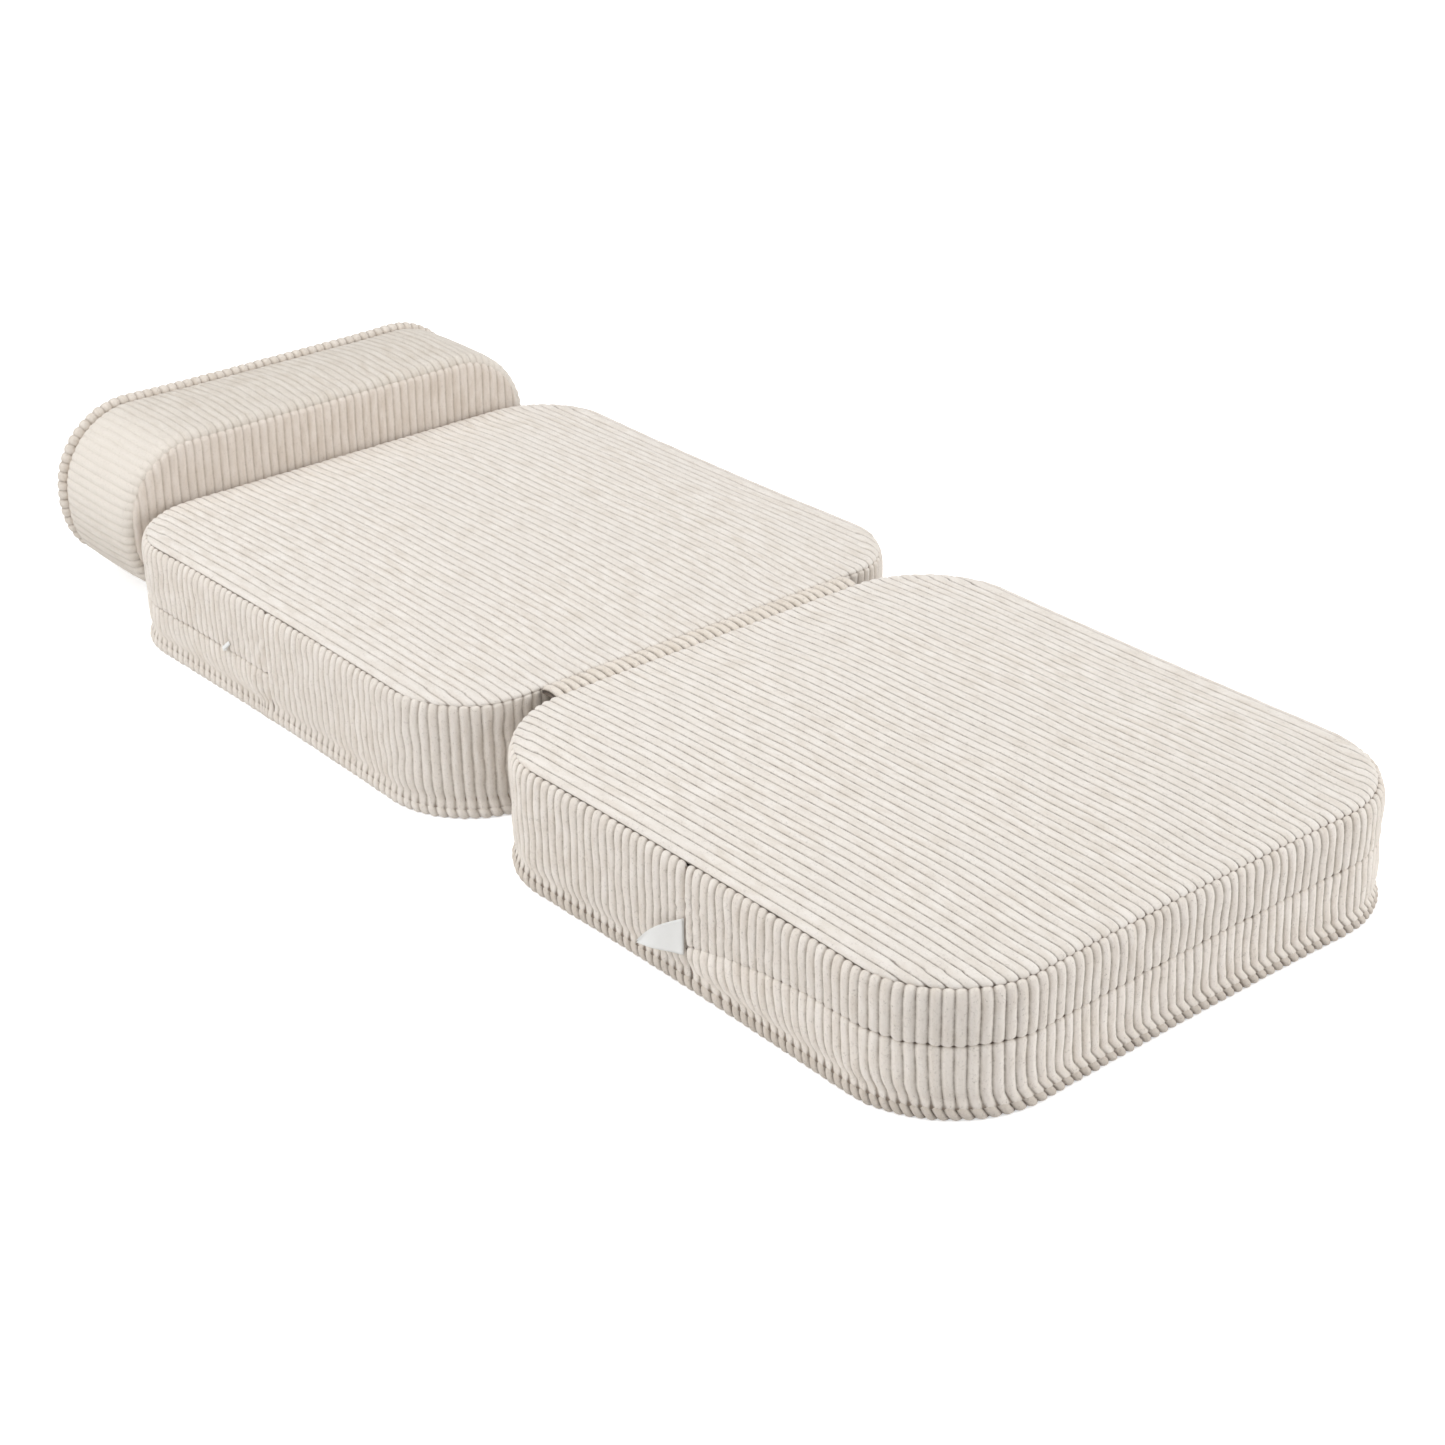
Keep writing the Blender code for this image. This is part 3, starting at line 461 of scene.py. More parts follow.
class Finishes:
    """The finished materials, made once."""

    def __init__(self) -> None:
        """Make every material."""
        self.top = self.corduroy("top", (232, 226, 219), (118, 107, 98))
        self.soft_top = self.corduroy("soft_top", (229, 223, 216), (138, 127, 117), 0.62, 0.66, 0.40, 0.12)
        self.side = self.corduroy("side", (231, 224, 216), (122, 108, 95), 0.60, 0.48, 0.60)
        # The lower band gets a paler copy of the side corduroy: a painted highlight where it bulges up under the
        # zip.
        self.low_side = self.corduroy("low_band", (236, 229, 221), (126, 112, 99), 0.58, 0.48, 0.60)
        # The fold strip's corduroy has darker, deeper painted grooves: painted shade between its pegs in the fold.
        self.strip = self.corduroy("strip", (228, 220, 210), (96, 83, 72), 0.80, 0.50, 0.55)
        self.soft_side = self.corduroy("soft_side", (229, 222, 214), (140, 126, 113), 0.48, 0.48, 0.56, 0.14)
        # The edge corduroy is a darker copy of the side's, used on the front pad's welt: painted shade on the lip
        # under the band.
        self.edge = self.corduroy("edge", (214, 205, 195), (96, 83, 72), 0.80, 0.50, 0.55)
        self.bolster = self.corduroy("bolster", (224, 215, 206), (158, 144, 130), 0.40, 0.50)
        # The gusset's crest is darker than the bolster's faces: painted shade on the bolster's top; its ends carry
        # the painted highlight.
        self.bolster_top = self.corduroy("gusset", (216, 209, 200), (140, 126, 112), 0.36, 0.50, 0.40, 0.26, 0.85)
        self.rim = self.corduroy("rim", (221, 213, 204), (136, 122, 108), 0.44, 0.50, 0.50)
        self.ribbon = RibbonFinish("white_ribbon", srgb(240, 240, 238)).make()
        self.zip_cloth = PlainFinish("zip_tape", srgb(206, 198, 186), 0.7).make()
        self.slider = PlainFinish("slider_enamel", srgb(225, 223, 218), 0.35, 0.3).make()

    @staticmethod
    def corduroy(name: str, crest: tuple, groove: tuple, *looks: float) -> bpy.types.Material:
        """Make a corduroy from its crest and groove on the screen and its looks, in CorduroyFinish's order."""
        return CorduroyFinish(f"cream_corduroy_{name}", srgb(*crest), srgb(*groove), *looks).make()


class PathPoint(NamedTuple):
    """Points of an outline with their outward directions and their share of the hinge end."""

    place: np.ndarray
    outward: np.ndarray
    hinge: np.ndarray


@dataclass
class Outline:
    """Rounded rectangle in plan, run anticlockwise from the middle of its +Y side."""

    width: float
    length: float
    radius: float
    side_draw: float = 0.0
    end_draw: float = 0.0
    centre_y: float = 0.0

    @property
    def inner(self) -> tuple:
        """Half sizes of the rectangle that the corner arcs stand on."""
        return self.width / 2 - self.radius, self.length / 2 - self.radius

    @property
    def total(self) -> float:
        """Length round the outline."""
        inner_x, inner_y = self.inner
        return 4 * inner_x + 4 * inner_y + 2 * math.pi * self.radius

    def at(self, run: np.ndarray) -> PathPoint:
        """Points at lengths along the outline.

        Args:
            run: lengths from the start, in metres, in an array of any shape.

        Returns:
            Places, directions and hinge shares in that shape.
        """
        shape = run.shape
        run = run.reshape(-1)
        inner_x, inner_y = self.inner
        arc = math.pi * self.radius / 2
        legs = [inner_x, arc, 2 * inner_y, arc, 2 * inner_x, arc, 2 * inner_y, arc, inner_x]
        starts = np.concatenate([[0.0], np.cumsum(legs)])
        run = np.mod(run, starts[-1])
        leg = np.clip(np.searchsorted(starts, run, side="right") - 1, 0, 8)
        share = (run - starts[leg]) / np.array(legs)[leg]
        place = np.zeros((len(run), 2))
        outward = np.zeros((len(run), 2))
        straight = {
            0: ((0, self.length / 2), (-inner_x, self.length / 2), (0, 1), 0.0),
            2: ((-self.width / 2, inner_y), (-self.width / 2, -inner_y), (-1, 0), self.side_draw),
            4: ((-inner_x, -self.length / 2), (inner_x, -self.length / 2), (0, -1), self.end_draw),
            6: ((self.width / 2, -inner_y), (self.width / 2, inner_y), (1, 0), self.side_draw),
            8: ((inner_x, self.length / 2), (0, self.length / 2), (0, 1), 0.0),
        }
        for index, (first, last, out, draw) in straight.items():
            here = leg == index
            part = share[here][:, None]
            dip = draw * 4 * part * (1 - part)
            place[here] = np.array(first) * (1 - part) + np.array(last) * part - np.array(out) * dip
            outward[here] = out
        corners = {1: (-1, 1, 90), 3: (-1, -1, 180), 5: (1, -1, 270), 7: (1, 1, 0)}
        for index, (side, end, first) in corners.items():
            here = leg == index
            angle = np.radians(first + 90 * share[here])
            turned = np.stack([np.cos(angle), np.sin(angle)], 1)
            place[here] = np.array((side * inner_x, end * inner_y)) + turned * self.radius
            outward[here] = turned
        place[:, 1] += self.centre_y
        hinge = self.hinge_share(outward[:, 1])
        return PathPoint(place.reshape(*shape, 2), outward.reshape(*shape, 2), hinge.reshape(shape))

    @staticmethod
    def hinge_share(outward_y: np.ndarray) -> np.ndarray:
        """1 where the outline faces the hinge end, 0 from 60 degrees away."""
        angle = np.degrees(np.arccos(np.clip(outward_y, -1, 1)))
        return ease(np.clip(1 - angle / 60, 0, 1))

    def depth(self, x: np.ndarray, y: np.ndarray) -> PathPoint:
        """How deep points lie inside the outline.

        Args:
            x: places across.
            y: places along.

        Returns:
            Depth, outward direction and hinge share, in the fields of a PathPoint.
        """
        inner_x, inner_y = self.inner
        over_x = np.abs(x) - inner_x
        over_y = np.abs(y - self.centre_y) - inner_y
        out_x = np.maximum(over_x, 0)
        out_y = np.maximum(over_y, 0)
        reach = np.hypot(out_x, out_y)
        inside = reach < 1e-9
        depth = np.where(inside, self.radius - np.maximum(over_x, over_y), self.radius - reach)
        safe = np.where(inside, 1, reach)
        way_x = np.where(inside, (over_x > over_y) * 1.0, out_x / safe) * np.sign(x)
        way_y = np.where(inside, (over_x <= over_y) * 1.0, out_y / safe) * np.sign(y - self.centre_y)
        return PathPoint(depth, np.stack([way_x, way_y], -1), self.hinge_share(way_y))

    def columns(self, places: Sequence = RIB_COLUMNS) -> tuple:
        """Columns of whole ribs across the outline: their x, rib phases and half lengths.

        Args:
            places: where the columns of one rib stand.

        Returns:
            x, rib phase and half length of each column.
        """
        run, phase = rib_columns(self.width, places)
        x = run - self.width / 2
        over = np.clip(np.abs(x) - self.inner[0], 0, self.radius)
        return x, phase, self.inner[1] + np.sqrt(np.clip(self.radius**2 - over**2, 0, None))


def ease(share: np.ndarray) -> np.ndarray:
    """Smooth step from 0 to 1."""
    return share * share * (3 - 2 * share)


def rise(distance: np.ndarray, reach: float) -> np.ndarray:
    """Smooth step from 0 at no distance to 1 at the reach."""
    return ease(np.clip(distance / reach, 0, 1))


def bell(distance: np.ndarray, reach: float) -> np.ndarray:
    """1 at no distance, falling off about the reach."""
    return np.exp(-((distance / reach) ** 2))


def from_ends(run: np.ndarray) -> np.ndarray:
    """Distance from the nearer end of a run."""
    return np.minimum(run - run[0], run[-1] - run)


def with_height(flat: np.ndarray, height: np.ndarray) -> np.ndarray:
    """Places in plan with their heights added."""
    return np.concatenate([flat, height[..., None]], -1)


def crowded(rows: int, power: float) -> np.ndarray:
    """Rows from -1 to 1 that stand closer towards both ends."""
    middle = np.linspace(-1, 1, rows)
    return np.sign(middle) * (1 - (1 - np.abs(middle)) ** power)


def ended(stand: np.ndarray) -> np.ndarray:
    """How fully ribs stand, with none on the first and last columns.

    Args:
        stand: shares in rows and columns, changed in place.

    Returns:
        The shares.
    """
    stand[:, :1] = 0
    stand[:, -1:] = 0
    return stand


def blend_values(low: object, high: object, share: object) -> object:
    """Value part of the way from low to high."""
    return low + (high - low) * share


def fallen(part: np.ndarray, power: float) -> np.ndarray:
    """1 less a power of a sine or cosine: how far a rounded edge has turned away."""
    return 1 - np.clip(part, 0, 1) ** power


def boxy(part: np.ndarray, power: float) -> np.ndarray:
    """A sine or cosine raised to a power, its sign kept: a round with flatter sides."""
    return np.sign(part) * np.abs(part) ** power


def end_round(distance: np.ndarray, reach: float) -> np.ndarray:
    """Height of a rounded end, 0 at the seam and 1 from the reach on."""
    return np.sqrt(np.clip(1 - (1 - np.clip(distance / reach, 0, 1)) ** 2, 0, 1))


def waves(seed: int, *axes: tuple) -> np.ndarray:
    """Smooth seeded unevenness about 0, within 1.

    Args:
        seed: which pattern.
        axes: pairs of an array and the length of its waves.

    Returns:
        The unevenness at each place.
    """
    chance = np.random.default_rng(seed)
    total = 0.0
    for octave in range(5):
        turn = 0.0
        for values, length in axes:
            turn = turn + values / length * chance.uniform(0.6, 1.7) * chance.choice([-1, 1])
        total = total + np.sin(2 * math.pi * turn + chance.uniform(0, 6.28)) / 5
    return total


def rib_columns(run: float, columns: Sequence = RIB_COLUMNS) -> tuple:
    """Columns for whole ribs over a run.

    Args:
        run: length across the ribs.
        columns: where the columns of one rib stand.

    Returns:
        The columns' lengths along the run and their rib phases.
    """
    count = max(1, round(run / RIB_PITCH))
    phase = np.concatenate([np.add.outer(np.arange(count), np.array(columns)).ravel(), [count]])
    return phase / count * run, phase


class ShellMaker:
    """Gathers grids of points into one closed mesh with its ribs' attributes."""

    def __init__(self) -> None:
        """Start empty."""
        self.points: list = []
        self.faces: list = []
        self.phase: list = []
        self.along: list = []
        self.fade: list = []
        self.count = 0

    def add_points(self, points: np.ndarray, phase: object, along: object, fade: object) -> np.ndarray:
        """Add points of any grid shape.

        Args:
            points: places, the last axis being x, y and z.
            phase: rib count at each point.
            along: length along the rib at each point.
            fade: how fully the rib stands at each point; where it is low the material paints the colour darker as
                shade.

        Returns:
            Their numbers in the mesh, in the grid's shape.
        """
        shape = points.shape[:-1]
        size = int(np.prod(shape))
        numbers = np.arange(self.count, self.count + size).reshape(shape)
        self.points.append(points.reshape(-1, 3))
        for store, given in ((self.phase, phase), (self.along, along), (self.fade, fade)):
            store.append(np.broadcast_to(given, shape).astype(float).reshape(-1))
        self.count += size
        return numbers

    def add_quads(self, numbers: np.ndarray, wrap_rows: bool = False, wrap_columns: bool = False) -> None:
        """Join a grid of point numbers with quads that face out where rows climb and columns run on.

        Args:
            numbers: point numbers in rows and columns.
            wrap_rows: also join the last row to the first.
            wrap_columns: also join the last column to the first.
        """
        if wrap_rows:
            numbers = np.concatenate([numbers, numbers[:1]], 0)
        if wrap_columns:
            numbers = np.concatenate([numbers, numbers[:, :1]], 1)
        quads = np.stack([numbers[:-1, :-1], numbers[:-1, 1:], numbers[1:, 1:], numbers[1:, :-1]], -1)
        self.faces.append(quads.reshape(-1, 4))

    def add_fan(self, ring: np.ndarray, tip: np.ndarray) -> None:
        """Close a ring of point numbers on one middle point, facing out when the ring runs anticlockwise.

        Args:
            ring: point numbers, once round.
            tip: place of the middle point.
        """
        middle = self.add_points(tip[None, :], 0, 0, 0)[0]
        following = np.roll(ring, -1)
        self.faces.append(np.stack([ring, following, np.full(len(ring), middle), np.full(len(ring), -1)], -1))

    def add_cushion(self, face: np.ndarray, ribs: tuple, skirt: np.ndarray, middle: np.ndarray, over: bool) -> None:
        """Add a ribbed face, closed by a skirt from its edge and a fan behind it.

        Args:
            face: world places in rows and columns.
            ribs: rib phases, lengths along the ribs and how fully they stand, at those places.
            skirt: world places of the skirt, one for each place of the face's edge.
            middle: world place of the fan's tip.
            over: whether the face looks out over the skirt as its rows climb and its columns run on.
        """
        numbers = self.add_points(face, *ribs)
        ring = grid_ring(numbers)
        under = self.add_points(skirt, 0, 0, 0)
        self.add_quads(numbers if over else numbers[:, ::-1])
        self.add_quads(np.stack([under, ring] if over else [ring, under]), wrap_columns=True)
        self.add_fan(under[::-1] if over else under, middle)

    def close_ends(self, numbers: np.ndarray, section: np.ndarray, world: Callable) -> None:
        """Close the two ends of a tube whose rows run round it.

        Args:
            numbers: its points' numbers.
            section: its points in their own frame.
            world: turns own places into world places.
        """
        for column, ring in ((0, numbers[::-1, 0]), (-1, numbers[:, -1])):
            self.add_fan(ring, world(section[:, column].mean(0)))

    def make(self, name: str, whole_ribs: float = 0.0) -> bpy.types.Object:
        """Build the mesh object.

        Args:
            name: the piece's name.
            whole_ribs: rib count of a closed run, so that the last rib's faces don't run backwards.

        Returns:
            The object, linked to the scene.
        """
        faces = np.concatenate(self.faces)
        sizes = np.where(faces[:, 3] < 0, 3, 4)
        corners = faces.reshape(-1)
        corners = corners[corners >= 0].astype(np.int32)
        starts = np.concatenate([[0], np.cumsum(sizes)[:-1]]).astype(np.int32)
        mesh = bpy.data.meshes.new(name)
        mesh.vertices.add(self.count)
        mesh.vertices.foreach_set("co", np.concatenate(self.points).astype(np.float32).ravel())
        mesh.loops.add(len(corners))
        mesh.loops.foreach_set("vertex_index", corners)
        mesh.polygons.add(len(faces))
        mesh.polygons.foreach_set("loop_start", starts)
        phase = np.concatenate(self.phase)
        along = np.concatenate(self.along)
        for label, values in (("phase", phase), ("fade", np.concatenate(self.fade))):
            mesh.attributes.new(label, "FLOAT", "POINT").data.foreach_set("value", values.astype(np.float32))
        across = phase[corners]
        if whole_ribs:
            lowest = np.minimum.reduceat(across, starts)
            highest = np.maximum.reduceat(across, starts)
            jump = np.repeat(highest - lowest > whole_ribs / 2, sizes)
            across = np.where(jump & (across < whole_ribs / 2), across + whole_ribs, across)
        coordinates = np.stack([across, along[corners] / RIB_PITCH], 1).astype(np.float32)
        mesh.uv_layers.new(name="ribs").data.foreach_set("uv", coordinates.ravel())
        mesh.update(calc_edges=True)
        mesh.validate()
        mesh.shade_smooth()
        return linked(name, mesh)


class PieceTree:
    """Geometry Nodes tree with named inputs, whose result on a piece is kept as its plain mesh."""

    def __init__(self, name: str, numbers: dict) -> None:
        """Begin the tree.

        Args:
            name: the tree's name.
            numbers: its number inputs by name, with what they are unless set.
        """
        self.tree = bpy.data.node_groups.new(name, "GeometryNodeTree")
        self.graph = Graph(self.tree)
        face = self.tree.interface
        face.new_socket("Geometry", in_out="INPUT", socket_type="NodeSocketGeometry")
        for label, number in numbers.items():
            face.new_socket(label, in_out="INPUT", socket_type="NodeSocketFloat").default_value = number
        face.new_socket("Material", in_out="INPUT", socket_type="NodeSocketMaterial")
        face.new_socket("Geometry", in_out="OUTPUT", socket_type="NodeSocketGeometry")
        given = self.graph.add("NodeGroupInput", {}, {})
        self.given = {socket.name: Value(self.graph, socket) for socket in given.outputs if socket.name}

    def end_on(self, geometry: Value) -> None:
        """End the tree on real geometry in the given material.

        Args:
            geometry: what the tree has made.
        """
        real = self.graph.node("GeometryNodeRealizeInstances", {}, {"Geometry": geometry})
        inputs = {"Geometry": real, "Material": self.given["Material"]}
        self.graph.add("NodeGroupOutput", {}, {0: self.graph.node("GeometryNodeSetMaterial", {}, inputs)})

    def keep(self, piece: bpy.types.Object, finish: bpy.types.Material, settings: dict) -> bpy.types.Object:
        """Run the tree on a piece and keep the result.

        Args:
            piece: the object it runs on.
            finish: the material it gets.
            settings: numbers for the tree's inputs, by name.

        Returns:
            The piece.
        """
        names = {item.name: item.identifier for item in self.tree.interface.items_tree if item.in_out == "INPUT"}
        modifier = piece.modifiers.new("tree", "NODES")
        modifier.node_group = self.tree
        for label, number in settings.items():
            modifier[names[label]] = number
        modifier[names["Material"]] = finish
        bpy.context.view_layer.update()
        made = evaluated(piece)
        piece.modifiers.remove(modifier)
        old = piece.data
        piece.data = made
        made.name = piece.name
        bpy.data.meshes.remove(old)
        if not made.materials:
            made.materials.append(finish)
        return piece


class RibRelief(PieceTree):
    """Raises the corduroy's ribs from a smooth cover."""

    def __init__(self) -> None:
        """Build the tree."""
        super().__init__("corduroy_ribs", {"Rib height": 0.002, "Roundness": 3.0, "Unevenness": 0.22, "Seed": 3.0})
        graph, given = self.graph, self.given
        phase, fade = (
            graph.node("GeometryNodeInputNamedAttribute", {"data_type": "FLOAT"}, {"Name": name})
            for name in ("phase", "fade")
        )
        place = graph.node("GeometryNodeInputPosition", {}, {})
        normal = graph.node("GeometryNodeInputNormal", {}, {})
        inputs = {"Vector": place, "W": given["Seed"], "Scale": 75.0, "Detail": 3.0}
        uneven = graph.node("ShaderNodeTexNoise", {"noise_dimensions": "4D"}, inputs) - 0.5
        crest = 1.0 - abs(phase.fraction() * 2.0 - 1.0) ** given["Roundness"]
        lift = given["Rib height"] * fade * crest * (1.0 + uneven * given["Unevenness"] * 4.0)
        offset = graph.node("ShaderNodeVectorMath", {"operation": "SCALE"}, {0: normal, "Scale": lift})
        inputs = {"Geometry": given["Geometry"], "Offset": offset}
        self.end_on(graph.node("GeometryNodeSetPosition", {}, inputs))

    def bake(
        self, piece: bpy.types.Object, finish: bpy.types.Material, rib_height: float, roundness: float
    ) -> bpy.types.Object:
        """Raise the ribs of a smooth cover, to a height and with rounder crests at a lower roundness."""
        return self.keep(piece, finish, {"Rib height": rib_height, "Roundness": roundness})


@dataclass
class Place:
    """Where a pad's own frame stands in the world."""

    x: float = 0.0
    y: float = 0.0
    turned: bool = False

    def world(self, points: np.ndarray) -> np.ndarray:
        """World places of points in the own frame.

        Args:
            points: places whose last axis is x, y and z.

        Returns:
            The moved places.
        """
        spin = -1.0 if self.turned else 1.0
        moved = np.array(points, float)
        moved[..., 0] = points[..., 0] * spin + self.x
        moved[..., 1] = points[..., 1] * spin + self.y
        return moved


class Seam(NamedTuple):
    """How a cover's edge is pulled in: depth below the face, its reach, how far ribs still stand, and its flare."""

    depth: float
    reach: float
    kept: float = 0.0
    flare: float = 0.0

    def dip(self, distance: np.ndarray) -> np.ndarray:
        """Depth at a distance from the edge, round where the ribs end, a waist and a flare where they run on.

        Args:
            distance: lengths from the edge.

        Returns:
            How far the face lies below its smooth form.
        """
        if self.kept:
            waist = bell(distance - 0.6 * self.reach, 0.4 * self.reach)
            return self.depth * waist - self.flare * (1 - rise(distance, 0.45 * self.reach))
        return self.depth * (1 - end_round(distance, self.reach))

    def stand(self, distance: np.ndarray) -> np.ndarray:
        """How fully the ribs stand at a distance from the edge."""
        return self.kept + (1 - self.kept) * end_round(distance, self.reach * 0.8)


TOP_SEAM = Seam(0.0024, 0.0042)
SOFT_SEAM = Seam(0.0012, 0.0030)
ZIP_SEAM = Seam(0.0021, 0.0042)
HEM_SEAM = Seam(0.0020, 0.0150, 0.52, 0.0019)
ROLL_SEAM = Seam(0.0036, 0.0105)
END_SEAM = Seam(0.0044, 0.0090)


def surface_normals(points: np.ndarray) -> np.ndarray:
    """Normals of a grid whose columns run on and whose rows climb.

    Args:
        points: places in rows and columns.

    Returns:
        Unit normals.
    """
    normal = np.cross(np.gradient(points, axis=1), np.gradient(points, axis=0))
    length = np.linalg.norm(normal, axis=-1, keepdims=True)
    return normal / np.maximum(length, 1e-12)


def triangles(piece: bpy.types.Object) -> int:
    """Triangle count of a mesh piece."""
    return sum(len(face.vertices) - 2 for face in piece.data.polygons)


def row_lengths(points: np.ndarray) -> tuple:
    """Lengths from a grid's first row and from its last row.

    Args:
        points: places in rows and columns.

    Returns:
        Both lengths at every point.
    """
    steps = np.linalg.norm(np.diff(points, axis=0), axis=-1)
    down = np.concatenate([np.zeros((1, points.shape[1])), np.cumsum(steps, 0)])
    return down, down[-1:] - down


def pull_in(points: np.ndarray, low: Seam, high: Seam) -> tuple:
    """Pull a face's first and last rows in at their seams.

    Args:
        points: rows and columns of the face.
        low: seam of the first row.
        high: seam of the last row.

    Returns:
        The points, the length from the first row and how fully the ribs stand.
    """
    down, up = row_lengths(points)
    dip = low.dip(down) + high.dip(up)
    fade = np.minimum(low.stand(down), high.stand(up))
    return points - surface_normals(points) * dip[..., None], down, fade


def closed_strip(
    name: str,
    points: np.ndarray,
    phase: np.ndarray,
    along: np.ndarray,
    fade: np.ndarray,
    world: Callable,
    thickness: float = 0.003,
) -> bpy.types.Object:
    """Close a face grid with an inner wall and two ends.

    Args:
        name: the piece's name.
        points: rows and columns of the outer face.
        phase: rib phase of each column.
        along: length along the ribs.
        fade: how fully the ribs stand.
        world: turns own places into world places.
        thickness: depth of the inner wall under both edges.

    Returns:
        The smooth cover, not yet ribbed.
    """
    normal = surface_normals(points)
    inner = np.stack([points[-1] - normal[-1] * thickness, points[0] - normal[0] * thickness])
    section = np.concatenate([points, inner])
    lengths = np.concatenate([along, along[-1:], along[:1]])
    stand = np.concatenate([fade, np.zeros((2, points.shape[1]))])
    shell = ShellMaker()
    numbers = shell.add_points(world(section), phase[None, :], lengths, stand)
    shell.add_quads(numbers, wrap_rows=True)
    shell.close_ends(numbers, section, world)
    return shell.make(name)


def grid_ring(grid: np.ndarray) -> np.ndarray:
    """Edge of a grid, once round."""
    return np.concatenate([grid[0, :-1], grid[:-1, -1], grid[-1, :0:-1], grid[:0:-1, 0]])


def share_up(height: np.ndarray, low: tuple, top: np.ndarray) -> np.ndarray:
    """Share of the way from the lower edge to the top."""
    return np.clip((height - low[1]) / np.maximum(top - low[1], 1e-6), 0, 1)


@dataclass(frozen=True)
class Held:
    """What a pad's foam can't swell against: the floor, its neighbours and the trim on its walls."""

    joints: tuple = ((-0.07665, 0.012), (0.571, 0.010))
    trim: tuple = ((-0.300, -0.395, 0.050), (0.300, -0.491, 0.070), (-0.300, 0.338, 0.052))
    floor: float = 0.018
    floor_reach: float = 0.030
    joint_reach: float = 0.045
    trim_reach: float = 0.026

    def freedom(self, places: np.ndarray) -> np.ndarray:
        """Share of the foam's movement that the covers take on at world places.

        Args:
            places: one place in each row.

        Returns:
            Shares, 0 where the foam is held.
        """
        share = rise(places[:, 2] - self.floor, self.floor_reach)
        for y, gap in self.joints:
            share = share * rise(np.abs(places[:, 1] - y) - gap, self.joint_reach)
        for spot in self.trim:
            far = np.sum((places - np.array(spot)) ** 2, 1)
            share = share * (1 - np.exp(-far / (2 * self.trim_reach**2)))
        return share


